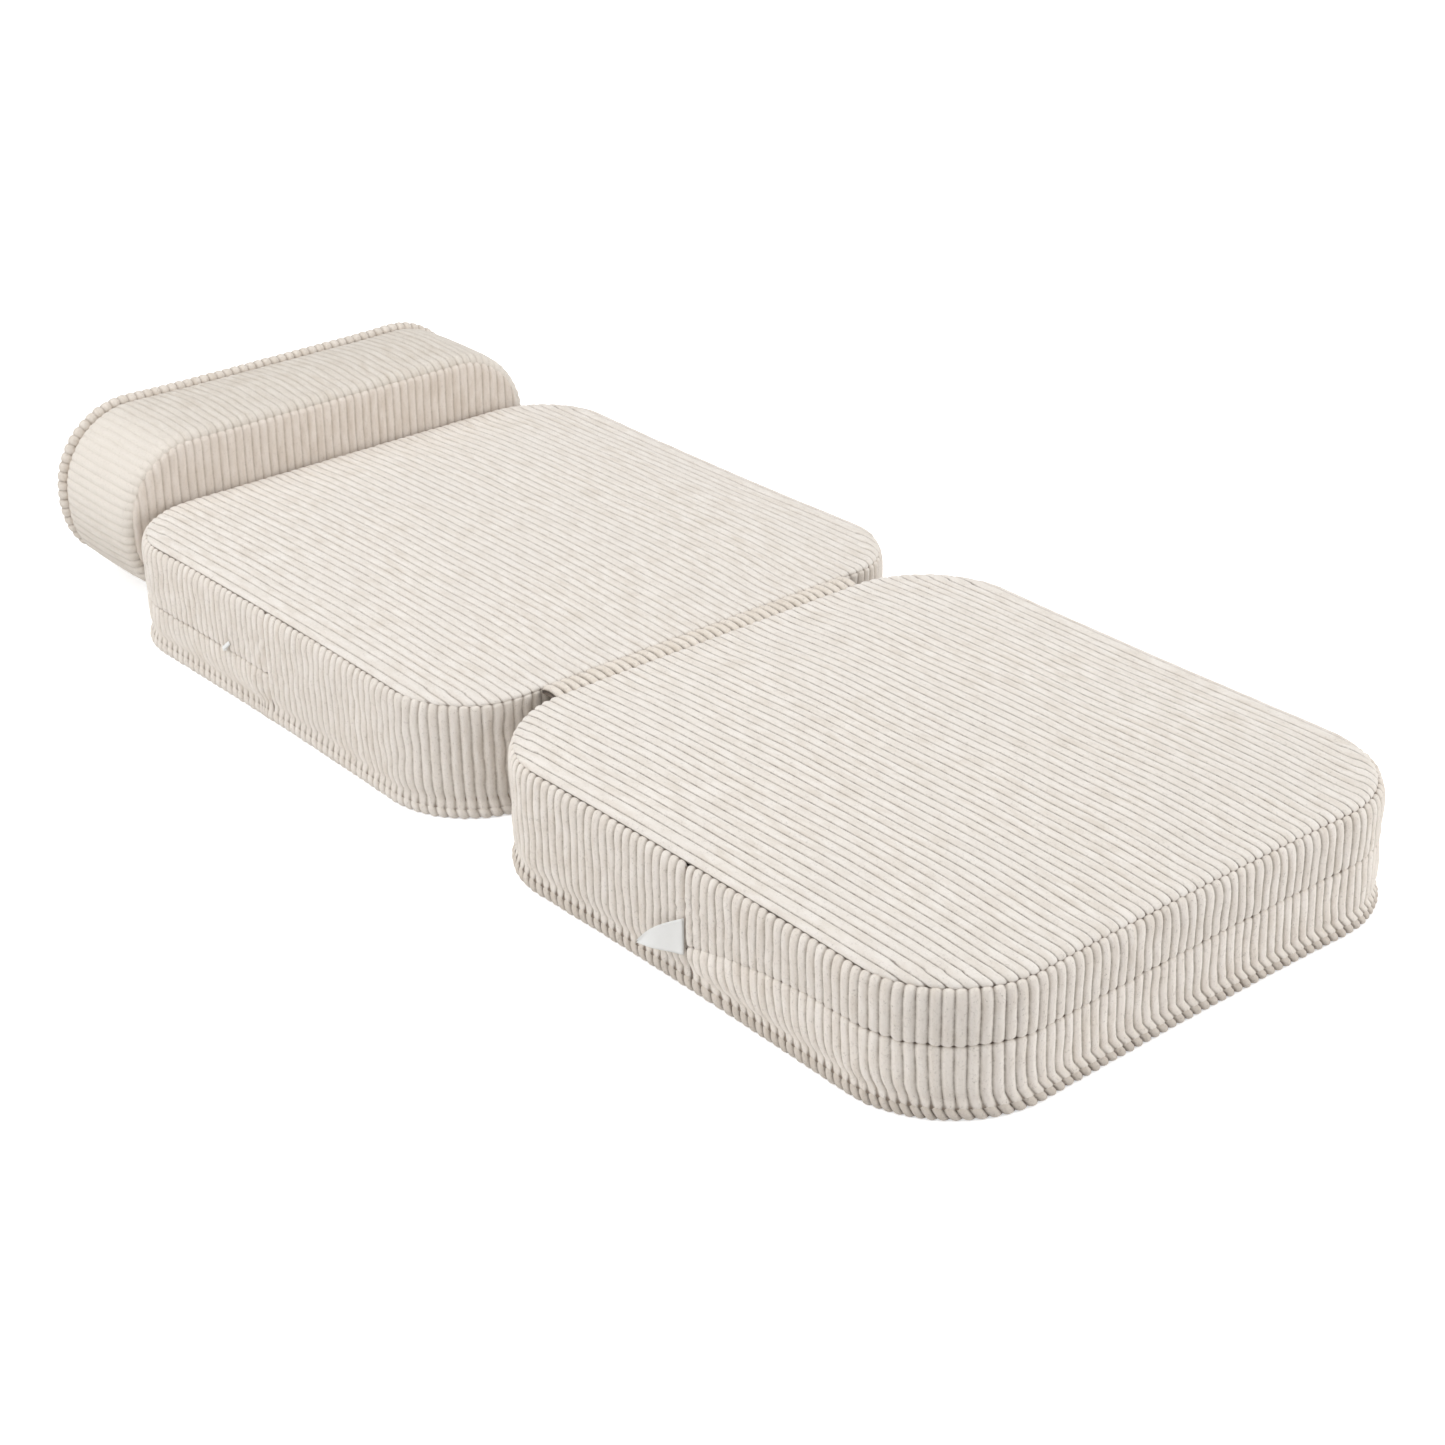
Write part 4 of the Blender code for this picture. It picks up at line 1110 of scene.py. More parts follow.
@dataclass
class Plumping:
    """Cloth simulation of a foam core under air pressure, whose movement the covers take on."""

    core: str
    cap: float = 0.0026
    voxel: float = 0.012
    pressure: float = 4.0
    frames: int = 20
    cell: float = 0.020
    held: Held = Held()

    def __post_init__(self) -> None:
        """Start without a movement."""
        self.low = np.zeros(3)
        self.grid = np.zeros((2, 2, 2, 3))

    def carrier(self) -> bpy.types.Object:
        """Even copy of the foam core that carries the simulation.

        Returns:
            The copy, linked to the scene.
        """
        copy = linked(f"{self.core}_press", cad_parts[self.core].data.copy())
        voxels = copy.modifiers.new("voxels", "REMESH")
        voxels.mode = "VOXEL"
        voxels.voxel_size = self.voxel
        bpy.context.view_layer.update()
        copy.data = bpy.data.meshes.new_from_object(copy.evaluated_get(bpy.context.evaluated_depsgraph_get()))
        copy.modifiers.clear()
        return copy

    def simulate(self) -> None:
        """Press the carrier from inside and keep how it moved."""
        carrier = self.carrier()
        rest = self.corners(carrier.data)
        pins = carrier.vertex_groups.new(name="pins")
        for number, share in enumerate(1 - self.held.freedom(rest)):
            pins.add([number], float(share), "REPLACE")
        press = carrier.modifiers.new("press", "CLOTH")
        cloth = press.settings
        cloth.quality = 5
        cloth.mass = 0.3
        cloth.tension_stiffness = cloth.compression_stiffness = 15
        cloth.shear_stiffness = 5
        cloth.bending_stiffness = 0.5
        cloth.vertex_group_mass = "pins"
        cloth.use_pressure = True
        cloth.uniform_pressure_force = self.pressure
        cloth.effector_weights.gravity = 0
        press.collision_settings.use_collision = False
        press.point_cache.frame_start = 1
        press.point_cache.frame_end = self.frames
        scene = bpy.context.scene
        for number in range(1, self.frames + 1):
            scene.frame_set(number)
        pressed = carrier.evaluated_get(bpy.context.evaluated_depsgraph_get()).to_mesh()
        shift = self.corners(pressed) - rest
        scene.frame_set(1)
        mesh = carrier.data
        bpy.data.objects.remove(carrier)
        bpy.data.meshes.remove(mesh)
        length = np.linalg.norm(shift, axis=1)
        usual = max(float(np.percentile(length, 90)), 1e-6)
        shift = shift * (self.cap / np.maximum(usual, length))[:, None]
        LOG.info("%s: %d points pressed, usual swell %.4f m before its cap", self.core, len(rest), usual)
        self.spread(rest, shift)

    @staticmethod
    def corners(mesh: bpy.types.Mesh) -> np.ndarray:
        """Places of a mesh's vertices.

        Args:
            mesh: the mesh.

        Returns:
            One place in each row.
        """
        places = np.empty(len(mesh.vertices) * 3, np.float32)
        mesh.vertices.foreach_get("co", places)
        return places.reshape(-1, 3).astype(float)

    def spread(self, rest: np.ndarray, shift: np.ndarray) -> None:
        """Lay the movement out on an even grid round the pad.

        Args:
            rest: places before the press.
            shift: how each of them moved.
        """
        self.low = rest.min(0) - 3 * self.cell
        size = np.ceil((rest.max(0) - self.low) / self.cell).astype(int) + 5
        cells = tuple(np.round((rest - self.low) / self.cell).astype(int).T)
        sums = np.zeros((*size, 3))
        count = np.zeros(size)
        np.add.at(sums, cells, shift)
        np.add.at(count, cells, 1)
        for _ in range(2):
            for axis in range(3):
                sums = (np.roll(sums, 1, axis) + 2 * sums + np.roll(sums, -1, axis)) / 4
                count = (np.roll(count, 1, axis) + 2 * count + np.roll(count, -1, axis)) / 4
        self.grid = sums / np.maximum(count, 1e-3)[..., None]

    def swell(self, piece: bpy.types.Object) -> None:
        """Move a cover's vertices as the foam under them moved.

        Args:
            piece: the cover.
        """
        places = self.corners(piece.data)
        spot = np.clip((places - self.low) / self.cell, 0, np.array(self.grid.shape[:3]) - 2.001)
        base = spot.astype(int)
        part = spot - base
        shift = np.zeros_like(places)
        for corner in np.ndindex(2, 2, 2):
            weight = np.prod(np.where(np.array(corner), part, 1 - part), axis=1)
            shift += self.grid[tuple((base + corner).T)] * weight[:, None]
        places += shift * self.held.freedom(places)[:, None]
        piece.data.vertices.foreach_set("co", places.astype(np.float32).ravel())
        piece.data.update()


class ZipTeeth(PieceTree):
    """Sets zip teeth out along a path."""

    def __init__(self) -> None:
        """Build the tree."""
        super().__init__("zip_teeth", {"Pitch": 0.0024, "Tooth length": 0.0024, "Tooth depth": 0.0012})
        graph, given = self.graph, self.given
        pitch = given["Pitch"]
        length = given["Tooth length"]
        path = graph.node("GeometryNodeMeshToCurve", {}, {"Mesh": given["Geometry"]})
        points = graph.node("GeometryNodeResampleCurve", {"mode": "LENGTH"}, {"Curve": path, "Length": pitch})
        size = graph.joined(pitch * 0.72, given["Tooth depth"], length)
        tooth = graph.node("GeometryNodeMeshCube", {}, {"Size": size})
        tangent = graph.node("GeometryNodeInputTangent", {}, {})
        axes = {"axis": "X", "pivot_axis": "Z"}
        turn = graph.node("FunctionNodeAlignRotationToVector", axes, {"Vector": tangent})
        odd = (graph.node("GeometryNodeInputIndex", {}, {}) * 0.5).fraction() * 4.0 - 1.0
        lift = graph.joined(0.0, 0.0, odd * length * 0.28)
        staggered = graph.node("GeometryNodeSetPosition", {}, {"Geometry": points, "Offset": lift})
        inputs = {"Points": staggered, "Instance": tooth, "Rotation": turn}
        self.end_on(graph.node("GeometryNodeInstanceOnPoints", {}, inputs))

    def bake(self, name: str, path: np.ndarray, finish: bpy.types.Material) -> bpy.types.Object:
        """Set teeth out along a path.

        Args:
            name: the piece's name.
            path: world places along the zip.
            finish: their material.

        Returns:
            The piece, linked to the scene.
        """
        mesh = bpy.data.meshes.new(name)
        mesh.from_pydata([tuple(place) for place in path], [(i, i + 1) for i in range(len(path) - 1)], [])
        return self.keep(linked(name, mesh), finish, {})


def settle(piece: bpy.types.Object, body: Body, slot: Slot) -> None:
    """Make a finished piece ride on its body and report it.

    Args:
        piece: the piece.
        body: what it moves with.
        slot: its material slot, not used.
    """
    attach(piece, body.value)
    LOG.info("%s: %d triangles", piece.name, triangles(piece))


class Workshop(NamedTuple):
    """What the covers are made with."""

    finishes: Finishes
    relief: RibRelief
    teeth: ZipTeeth

    def put_on(self, prefix: str, body: Body, made: Sequence, plumping: Plumping) -> Iterator:
        """Rib, swell and place pieces, one after the other.

        Args:
            prefix: start of the names of the solids that they take the place of.
            body: what they move with.
            made: rows of a smooth piece, its finish, rib height and roundness, and its solids.
            plumping: how the foam under them swells.

        Returns:
            Each placed piece with its solids.
        """
        for piece, finish, height, roundness, nodes in made:
            self.relief.bake(piece, finish, rib_height=height, roundness=roundness)
            plumping.swell(piece)
            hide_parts(*(f"{prefix}_{node}" for node in nodes))
            settle(piece, body, Slot.EDGE if nodes[0].endswith("welt") else Slot.CORDUROY)
            yield piece, nodes

    def add_zip(self, prefix: str, body: Body, path: np.ndarray) -> None:
        """Set zip teeth out along a path and finish the zip's slider.

        Args:
            prefix: start of the names of the zip's solids.
            body: what the zip moves with.
            path: world places along the zip.
        """
        chain = self.teeth.bake(f"{prefix}_zip_teeth", path, self.finishes.zip_cloth)
        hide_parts(f"{prefix}_zip_chain")
        settle(chain, body, Slot.ZIP)
        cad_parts[f"{prefix}_zip_slider"].data.materials[0] = self.finishes.slider


@dataclass
class PadCover:
    """Zipped corduroy cover of one pad, modelled about the pad's middle with its hinge end at +Y."""

    name: str
    body: Body
    place: Place
    corner_radius: float
    zip_start: float
    zip_height: float
    label_sag: float
    joins_bolster: bool
    soft: bool
    lean: float
    lean_reach: float
    waviness: float
    hem_sweep: float
    hem_notch: float
    zip_calm: float
    seed: int
    width: float = 0.600
    length: float = 0.635
    edge_height: float = 0.124
    crown: float = 0.0046
    side_draw: float = 0.0025
    shoulder: float = 0.022
    shoulder_drop: float = 0.024
    hinge_shoulder: float = 0.009
    hinge_drop: float = 0.005
    fullness: float = 3.2
    seam_angle: float = 47.0
    hinge_seam_angle: float = 14.0
    zip_gap: float = 0.0004
    zip_inset: float = 0.0074
    welt_radius: float = 0.0060
    welt_inset: float = 0.0020
    welt_lift: float = 0.0005
    peg_height: float = 0.0028
    corner_calm: float = 0.75
    sag_run: float = 0.210
    rib_height: float = 0.0024
    top_rib_height: float = 0.0019
    gather_depth: float = 0.0022
    gather_reach: float = 0.028
    bulge: float = 0.0050
    bulge_reach: float = 0.14
    calm_share: float = 0.8
    calm_height: float = 0.0060
    wall_inset: float = 0.0010
    unevenness: float = 0.0009
    sweep_height: float = 0.026
    top_unevenness: float = 0.0012
    foot_inset: float = 0.0052
    foot_height: float = 0.0033
    zip_ripple: float = 0.0007
    zip_wave: float = 0.0010
    rib_wander: float = 0.0007
    underside_level: float = 0.0020
    underside_depth: float = 0.0016
    underside_rib: float = 0.0014
    strip_half: float = 0.180
    strip_lap: float = 0.0126
    open_lap: float = 0.0056
    welt_flatness: float = 0.75
    welt_stop: float = 0.42
    peg_sweep: float = 0.69
    peg_slope: float = 0.0022

    @property
    def outline(self) -> Outline:
        """Plan of the pad."""
        end_draw = 0 if self.joins_bolster else self.side_draw
        return Outline(self.width, self.length, self.corner_radius, self.side_draw, end_draw)

    @property
    def top_seam(self) -> Seam:
        """Seam between the top and the bands."""
        return SOFT_SEAM if self.soft else TOP_SEAM

    def zip_level(self, point: PathPoint) -> np.ndarray:
        """Height of the zip at places of the outline.

        Args:
            point: places of the outline.

        Returns:
            Heights above the floor.
        """
        away = self.length / 2 - self.zip_start - point.place[..., 1]
        sag = self.label_sag * np.clip(1 - away / self.sag_run, 0, 1) ** 2
        return self.zip_height - np.where(point.place[..., 0] < 0, sag, 0)

    def seam_place(self, hinge: np.ndarray) -> tuple:
        """Inset and angle of the top seam on the shoulder.

        Args:
            hinge: share of the hinge end.

        Returns:
            Inset from the outline, and angle in radians.
        """
        angle = np.radians(blend_values(self.seam_angle, self.hinge_seam_angle, hinge))
        size = blend_values(self.shoulder, self.hinge_shoulder, hinge)
        return size * (1 - np.cos(angle) ** (2 / self.fullness)), angle

    def shoulder_curve(self, angle: np.ndarray, hinge: np.ndarray) -> tuple:
        """Inset and height on the shoulder's round.

        Args:
            angle: 0 on the wall to a right angle on the top.
            hinge: share of the hinge end.

        Returns:
            Insets and heights.
        """
        size = blend_values(self.shoulder, self.hinge_shoulder, hinge)
        drop = blend_values(self.shoulder_drop, self.hinge_drop, hinge)
        power = 2 / self.fullness
        return size * fallen(np.cos(angle), power), self.edge_height - drop * fallen(np.sin(angle), power)

    def run_of(self, y: float, left: bool) -> float:
        """Length along the outline at which a straight side passes a place.

        Args:
            y: the place along the pad.
            left: whether the side is the -X one.

        Returns:
            The length.
        """
        inner_x, inner_y = self.outline.inner
        arc = math.pi * self.corner_radius / 2
        to_side = inner_x + arc + (inner_y - y)
        return to_side if left else self.outline.total - to_side

    def seen_side(self, point: PathPoint) -> np.ndarray:
        """1 on the long side that faces the camera, else 0."""
        facing = point.outward[..., 0] * (-1 if self.place.turned else 1)
        return np.clip(-facing * 1.6 - 0.4, 0, 1)

    def corner_share(self, point: PathPoint) -> np.ndarray:
        """1 in the middle of a rounded corner, 0 on the straight sides."""
        return (2 * point.outward[..., 0] * point.outward[..., 1]) ** 2

    def sweep_at(self, point: PathPoint) -> np.ndarray:
        """How far the ribs' lower ends sweep along the pad."""
        return self.hem_sweep * (1 - self.corner_calm * self.corner_share(point))

    def slant_share(self, point: PathPoint, ends: np.ndarray) -> np.ndarray:
        """How fully the ribs lean, at distances from the ends of the zip."""
        return self.seen_side(point) * np.exp(-ends / self.lean_reach) * rise(ends, 0.05)

    def hem_shift(self, run: np.ndarray) -> np.ndarray:
        """How far the ribs have moved along the pad where they meet the welt.

        Args:
            run: lengths along the outline.

        Returns:
            Shifts in metres.
        """
        point = self.outline.at(run)
        left, right = self.zip_span
        ends = np.minimum(run - left, right - run)
        drop = np.clip(self.zip_level(point) - self.zip_gap / 2 - self.hem(point)[1], 0, None)
        return self.sweep_at(point) + self.lean * self.slant_share(point, np.clip(ends, 0, None)) * drop

    def wall_points(self, run: np.ndarray, low: tuple, high: tuple, lean: float) -> np.ndarray:
        """Smooth outer face of a band.

        Args:
            run: columns along the outline.
            low: inset and height of the lower edge at each column.
            high: inset and height of the upper edge, or None for the top seam.
            lean: how far the ribs lean along the pad for each metre they go down.

        Returns:
            Points in rows and columns.
        """
        point = self.outline.at(run)
        share = (1 - np.cos(np.linspace(0, math.pi, WALL_ROWS))) / 2
        if high is None:
            top_inset, top_height = self.shoulder_curve(np.zeros(len(run)), point.hinge)
        else:
            top_inset, top_height = high
        inset = blend_values(low[0], top_inset, share[:, None])
        height = blend_values(low[1], top_height, share[:, None])
        if high is None:
            _, angle = self.seam_place(point.hinge)
            steps = np.sin(np.linspace(0, math.pi / 2, SHOULDER_ROWS + 1))[1:, None]
            over_inset, over_height = self.shoulder_curve(angle * steps, point.hinge)
            inset = np.concatenate([inset, over_inset])
            height = np.concatenate([height, over_height])
        ends = from_ends(run)
        loose = rise(ends, 0.05) * rise(height - low[1], 0.02)
        sway = self.waviness * waves(self.seed + 1, (run[None, :], 0.07), (height, 0.055)) * loose
        sway = sway * (1 - self.corner_calm * self.corner_share(point))
        slant = lean * self.slant_share(point, ends)
        top = top_height if high is not None else low[1] + 0.04
        sway = sway + slant * np.clip(top - height, 0, None)
        if np.all(low[1] < HEM_CEILING):
            sway = sway + self.sweep_at(point) * np.clip(1 - (height - low[1]) / self.sweep_height, 0, 1) ** 2
        moved = self.outline.at(run[None, :] + sway)
        swell = self.unevenness * waves(self.seed + 2, (run[None, :], 0.09), (height, 0.08)) * loose
        gathers = waves(self.seed + 3, (run[None, :], 0.05), (height, 0.020))
        gathers = gathers * np.sin(math.pi * share_up(height, low, top_height))
        swell = swell + self.gather_depth * gathers * np.exp(-ends / self.gather_reach) * rise(ends, 0.006)
        flat = moved.place - moved.outward * (inset - swell)[..., None]
        return with_height(flat, height)

    def band(
        self,
        name: str,
        run: np.ndarray,
        phase: np.ndarray,
        low: tuple,
        high: tuple,
        seams: tuple,
        lean: float = 0.0,
    ) -> bpy.types.Object:
        """Closed band between two seams.

        Args:
            name: what follows the pad's name.
            run: columns along the outline.
            phase: rib phase of each column.
            low: inset and height of the lower edge.
            high: inset and height of the upper edge, or None for the top seam.
            seams: seam of the lower and of the upper edge.
            lean: how far the ribs lean.

        Returns:
            The smooth cover, not yet ribbed.
        """
        points = self.wall_points(run, low, high, lean)
        ends = from_ends(run)
        seen = self.seen_side(self.outline.at(run))
        if lean:
            down, up = row_lengths(points)
            bulge = self.bulge * np.exp(-ends / self.bulge_reach) * rise(ends, 0.03) * seen
            share = down / np.maximum(down + up, 1e-9)
            points = points + surface_normals(points) * (bulge * np.sin(math.pi * share**1.4) ** 1.1)[..., None]
        smooth = points
        points, down, fade = pull_in(points, *seams)
        from_zip = down if high is None else down[-1:] - down
        if not (high is None and seams[0].kept):
            calm = self.calm_share * seen * bell(ends, self.zip_calm) * rise(ends - 0.006, 0.018)
            near = calm[None, :] * bell(from_zip, self.calm_height)
            points = blend_values(points, smooth, near[..., None])
            fade = blend_values(fade, 1.0, near)
        # On the side facing the camera the ribs drop along the hem, and the material paints that line darker:
        # painted shade at the hem.
        if seams[0].kept:
            fade = fade * (1 - self.hem_notch * seen * bell(down, 0.0030))
        points = points - surface_normals(points) * END_SEAM.dip(ends)[None, :, None]
        return closed_strip(f"{self.name}_{name}", points, phase, down, fade, self.place.world)

    def hem(self, point: PathPoint) -> tuple:
        """Inset and height of the lower edge of the bands.

        Args:
            point: places of the outline.

        Returns:
            Insets and heights.
        """
        reach = self.welt_radius * math.sin(math.radians(45))
        height = np.full(len(point.hinge), self.welt_lift + self.welt_radius + reach)
        if self.joins_bolster:
            free = np.degrees(np.arccos(np.clip(-point.outward[..., 1], -1, 1))) < 42
            return np.where(free, self.foot_inset, self.wall_inset), np.where(free, self.foot_height, height)
        return np.full(len(point.hinge), self.wall_inset), height

    @property
    def zip_span(self) -> tuple:
        """Lengths along the outline between which the zip runs."""
        left = self.run_of(self.length / 2 - self.zip_start, True)
        return left, self.outline.total - left

    def build_bands(self) -> tuple:
        """Bands below and above the zip, and the hinge band.

        Returns:
            The lower, the upper and the hinge band, not yet ribbed.
        """
        (run, phase), (hinge_run, hinge_phase) = self.band_runs()
        point = self.outline.at(run)
        level = self.zip_level(point) + self.zip_ripple * waves(self.seed + 7, (run, 0.017))
        level = level + self.zip_wave * waves(self.seed + 8, (run, 0.06))
        inset = np.full(len(run), self.wall_inset)
        below = (inset, level - self.zip_gap / 2)
        above = (inset, level + self.zip_gap / 2)
        lower = self.band("lower_cover", run, phase, self.hem(point), below, (HEM_SEAM, ZIP_SEAM), self.lean)
        upper = self.band("upper_cover", run, phase, above, None, (ZIP_SEAM, self.top_seam))
        hem = self.hem(self.outline.at(hinge_run))
        hinge = self.band("hinge_cover", hinge_run, hinge_phase, hem, None, (HEM_SEAM, self.top_seam))
        return lower, upper, hinge

    def build_top(self) -> bpy.types.Object:
        """Crowned top panel with ribs along the pad.

        Returns:
            The smooth cover, not yet ribbed.
        """
        side_inset = float(self.seam_place(np.array(0.0))[0])
        hinge_inset = float(self.seam_place(np.array(1.0))[0])
        seam = Outline(
            self.width - 2 * side_inset,
            self.length - side_inset - hinge_inset,
            self.corner_radius - side_inset,
            centre_y=(side_inset - hinge_inset) / 2,
        )
        x, phase, half = seam.columns()
        y = crowded(TOP_ROWS, 1.8)[:, None] * half[None, :] + seam.centre_y
        x = np.broadcast_to(x[None, :], y.shape)
        deep, outward, hinge = seam.depth(x, y)
        seam_inset, seam_angle = self.seam_place(hinge)
        size = blend_values(self.shoulder, self.hinge_shoulder, hinge)
        reach = size - seam_inset
        part = np.clip(deep / reach, 0, 1)
        inset, height = self.shoulder_curve(blend_values(seam_angle, math.pi / 2, part**0.8), hinge)
        shift = np.where(deep < reach, deep + seam_inset - inset, 0)
        flat = np.stack([x, y], -1) + outward * shift[..., None]
        straight = self.length / 2 - self.corner_radius
        draw = self.side_draw * (1 - np.clip(np.abs(flat[..., 1]) / straight, 0, 1) ** 2)
        flat[..., 0] *= 1 - draw / (self.width / 2)
        if not self.joins_bolster:
            straight = self.width / 2 - self.corner_radius
            pull = self.side_draw * (1 - np.clip(np.abs(flat[..., 0]) / straight, 0, 1) ** 2)
            flat[..., 1] += pull * np.clip(-flat[..., 1] / (self.length / 2), 0, 1) ** 3
        flat[..., 0] += self.rib_wander * waves(self.seed + 5, (x, 0.16), (y, 0.21)) * rise(deep, 0.04)
        dome = 1 - np.abs(flat[..., 0] / (self.width / 2)) ** 3
        dome = dome * (1 - np.abs(flat[..., 1] / (self.length / 2)) ** 3)
        height = height + self.crown * np.clip(dome, 0, 1) * rise(deep, 0.08)
        height = height + self.top_unevenness * waves(self.seed, (x, 0.31), (y, 0.27)) * rise(deep, 0.05)
        points = with_height(flat, height)
        points -= surface_normals(points) * self.top_seam.dip(deep)[..., None]
        stand = ended(self.top_seam.stand(deep))
        lower = grid_ring(points)
        lower[:, :2] *= 0.985
        lower[:, 2] -= 0.003
        world = self.place.world
        middle = world(np.array([0.0, 0.0, self.edge_height - 0.012]))
        shell = ShellMaker()
        shell.add_cushion(world(points), (phase[None, :], y, stand), world(lower), middle, True)
        return shell.make(f"{self.name}_top_cover")

    def build_underside(self) -> bpy.types.Object:
        """Ribbed underside on the floor.

        Returns:
            The smooth cover, not yet ribbed.
        """
        edge = self.welt_radius + self.welt_inset - self.peg_height + 0.0002
        plan = Outline(self.width - 2 * edge, self.length - 2 * edge, self.corner_radius - edge)
        x, phase, half = plan.columns(PLAIN_COLUMNS)
        y = np.linspace(-1, 1, 24)[:, None] * half[None, :]
        if self.joins_bolster:
            lap = np.where(np.abs(x) < self.strip_half, self.strip_lap, self.open_lap)
            y = np.maximum(y, lap - self.length / 2)
        x = np.broadcast_to(x[None, :], y.shape)
        deep = plan.depth(x, y).place
        points = np.stack([x, y, np.full(y.shape, self.underside_level)], -1)
        stand = ended(end_round(deep, 0.005))
        upper = grid_ring(points) + np.array([0, 0, self.underside_depth])
        world = self.place.world
        middle = world(np.array([0.0, 0.0, 0.0034]))
        shell = ShellMaker()
        shell.add_cushion(world(points), (phase[None, :], y, stand), world(upper), middle, False)
        return shell.make(f"{self.name}_underside_cover")

    def band_runs(self) -> tuple:
        """Runs and rib phases of the zipped bands and of the hinge band.

        Returns:
            Two pairs of lengths along the outline and rib phases.
        """
        left, right = self.zip_span
        gap = 0.0003
        zipped, first = rib_columns(right - left - 2 * gap)
        hinged, second = rib_columns(self.outline.total - (right - left) - 2 * gap)
        return (zipped + left + gap, first), (hinged + right + gap, second)

    def build_welt(self) -> bpy.types.Object:
        """Lip of short pegs round the underside, each one running on from a rib of the bands.

        Returns:
            The smooth roll, whose ribs become the pegs.
        """
        total = self.outline.total
        closed = not self.joins_bolster
        (zipped, first), (hinged, second) = self.band_runs()
        run = np.concatenate([zipped[:-1], hinged[:-1]])
        phase = np.concatenate([first[:-1], second[:-1] + first[-1]])
        whole = float(first[-1] + second[-1])
        if not closed:
            cut = self.outline.inner[0] + math.pi * self.corner_radius / 2 * self.welt_stop
            beyond = np.mod(run - total / 2, total)
            kept = (beyond > cut) & (beyond < total - cut)
            order = np.argsort(beyond[kept])
            run, phase = run[kept][order], phase[kept][order]
        turn = np.linspace(0, 2 * math.pi, PEG_SIDES, endpoint=False)[:, None]
        out, up = boxy(np.cos(turn), self.welt_flatness), boxy(np.sin(turn), self.welt_flatness)
        angle = np.where(turn > math.pi, turn - 2 * math.pi, turn)
        lean = (self.peg_sweep * self.hem_sweep) * np.clip((math.pi / 4 - angle) / (0.75 * math.pi), -0.3, 1)
        sweep = self.hem_shift(run)[None, :] + lean
        point = self.outline.at(run[None, :] + sweep)
        inset = self.welt_inset - (self.welt_radius - self.peg_height) * out + 0 * run
        height = self.welt_lift + self.welt_radius - 0.0002 + (self.welt_radius - 0.0012) * up + 0 * run
        height = height - self.peg_slope * np.clip(out, 0, 1) * np.clip(up + 0.3, 0, 1)
        flat = point.place - point.outward * inset[..., None]
        points = with_height(flat, height)
        # Ribs stand on the roll's outer side and lie flat on its inner lower side, which the material paints
        # darker: painted shade under the lip.
        stand = np.broadcast_to(np.clip(0.5 + np.cos(turn - 0.35), 0, 1), height.shape).copy()
        if not closed:
            stand = ended(stand)
        shell = ShellMaker()
        along = np.broadcast_to(turn * self.welt_radius, height.shape)
        numbers = shell.add_points(self.place.world(points), phase[None, :], along, stand)
        shell.add_quads(numbers, wrap_rows=True, wrap_columns=closed)
        if not closed:
            shell.close_ends(numbers, points, self.place.world)
        return shell.make(f"{self.name}_welt_cover", whole if closed else 0.0)

    def zip_path(self) -> np.ndarray:
        """World places along the middle of the zip.

        Returns:
            One place in each row.
        """
        left, right = self.zip_span
        run = np.linspace(left + 0.004, right - 0.004, 260)
        point = self.outline.at(run)
        flat = point.place - point.outward * self.zip_inset
        return self.place.world(np.concatenate([flat, self.zip_level(point)[:, None]], 1))

    def dress(self, shop: Workshop) -> None:
        """Build, rib and place every piece of the cover.

        Args:
            shop: what it is made with.
        """
        finishes = shop.finishes
        plumping = Plumping(f"{self.name}_foam_core")
        plumping.simulate()
        lower, upper, hinge = self.build_bands()
        side = finishes.soft_side if self.soft else finishes.side
        top = finishes.soft_top if self.soft else finishes.top
        edge = finishes.soft_side if self.soft else finishes.edge
        low_side = finishes.soft_side if self.soft else finishes.low_side
        made = (
            (self.build_top(), top, self.top_rib_height, 3.2, ("top_panel", "foam_core")),
            (lower, low_side, self.rib_height, 2.1, ("lower_band",)),
            (upper, side, self.rib_height, 2.1, ("upper_band",)),
            (hinge, side, self.rib_height, 2.1, ("hinge_band",)),
            (self.build_underside(), top, self.underside_rib, 2.6, ("bottom_panel",)),
            (self.build_welt(), edge, self.peg_height, 2.2, ("bottom_welt",)),
        )
        for piece, nodes in shop.put_on(self.name, self.body, made, plumping):
            if "foam_core" in nodes:
                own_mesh(piece)
        shop.add_zip(self.name, self.body, self.zip_path())


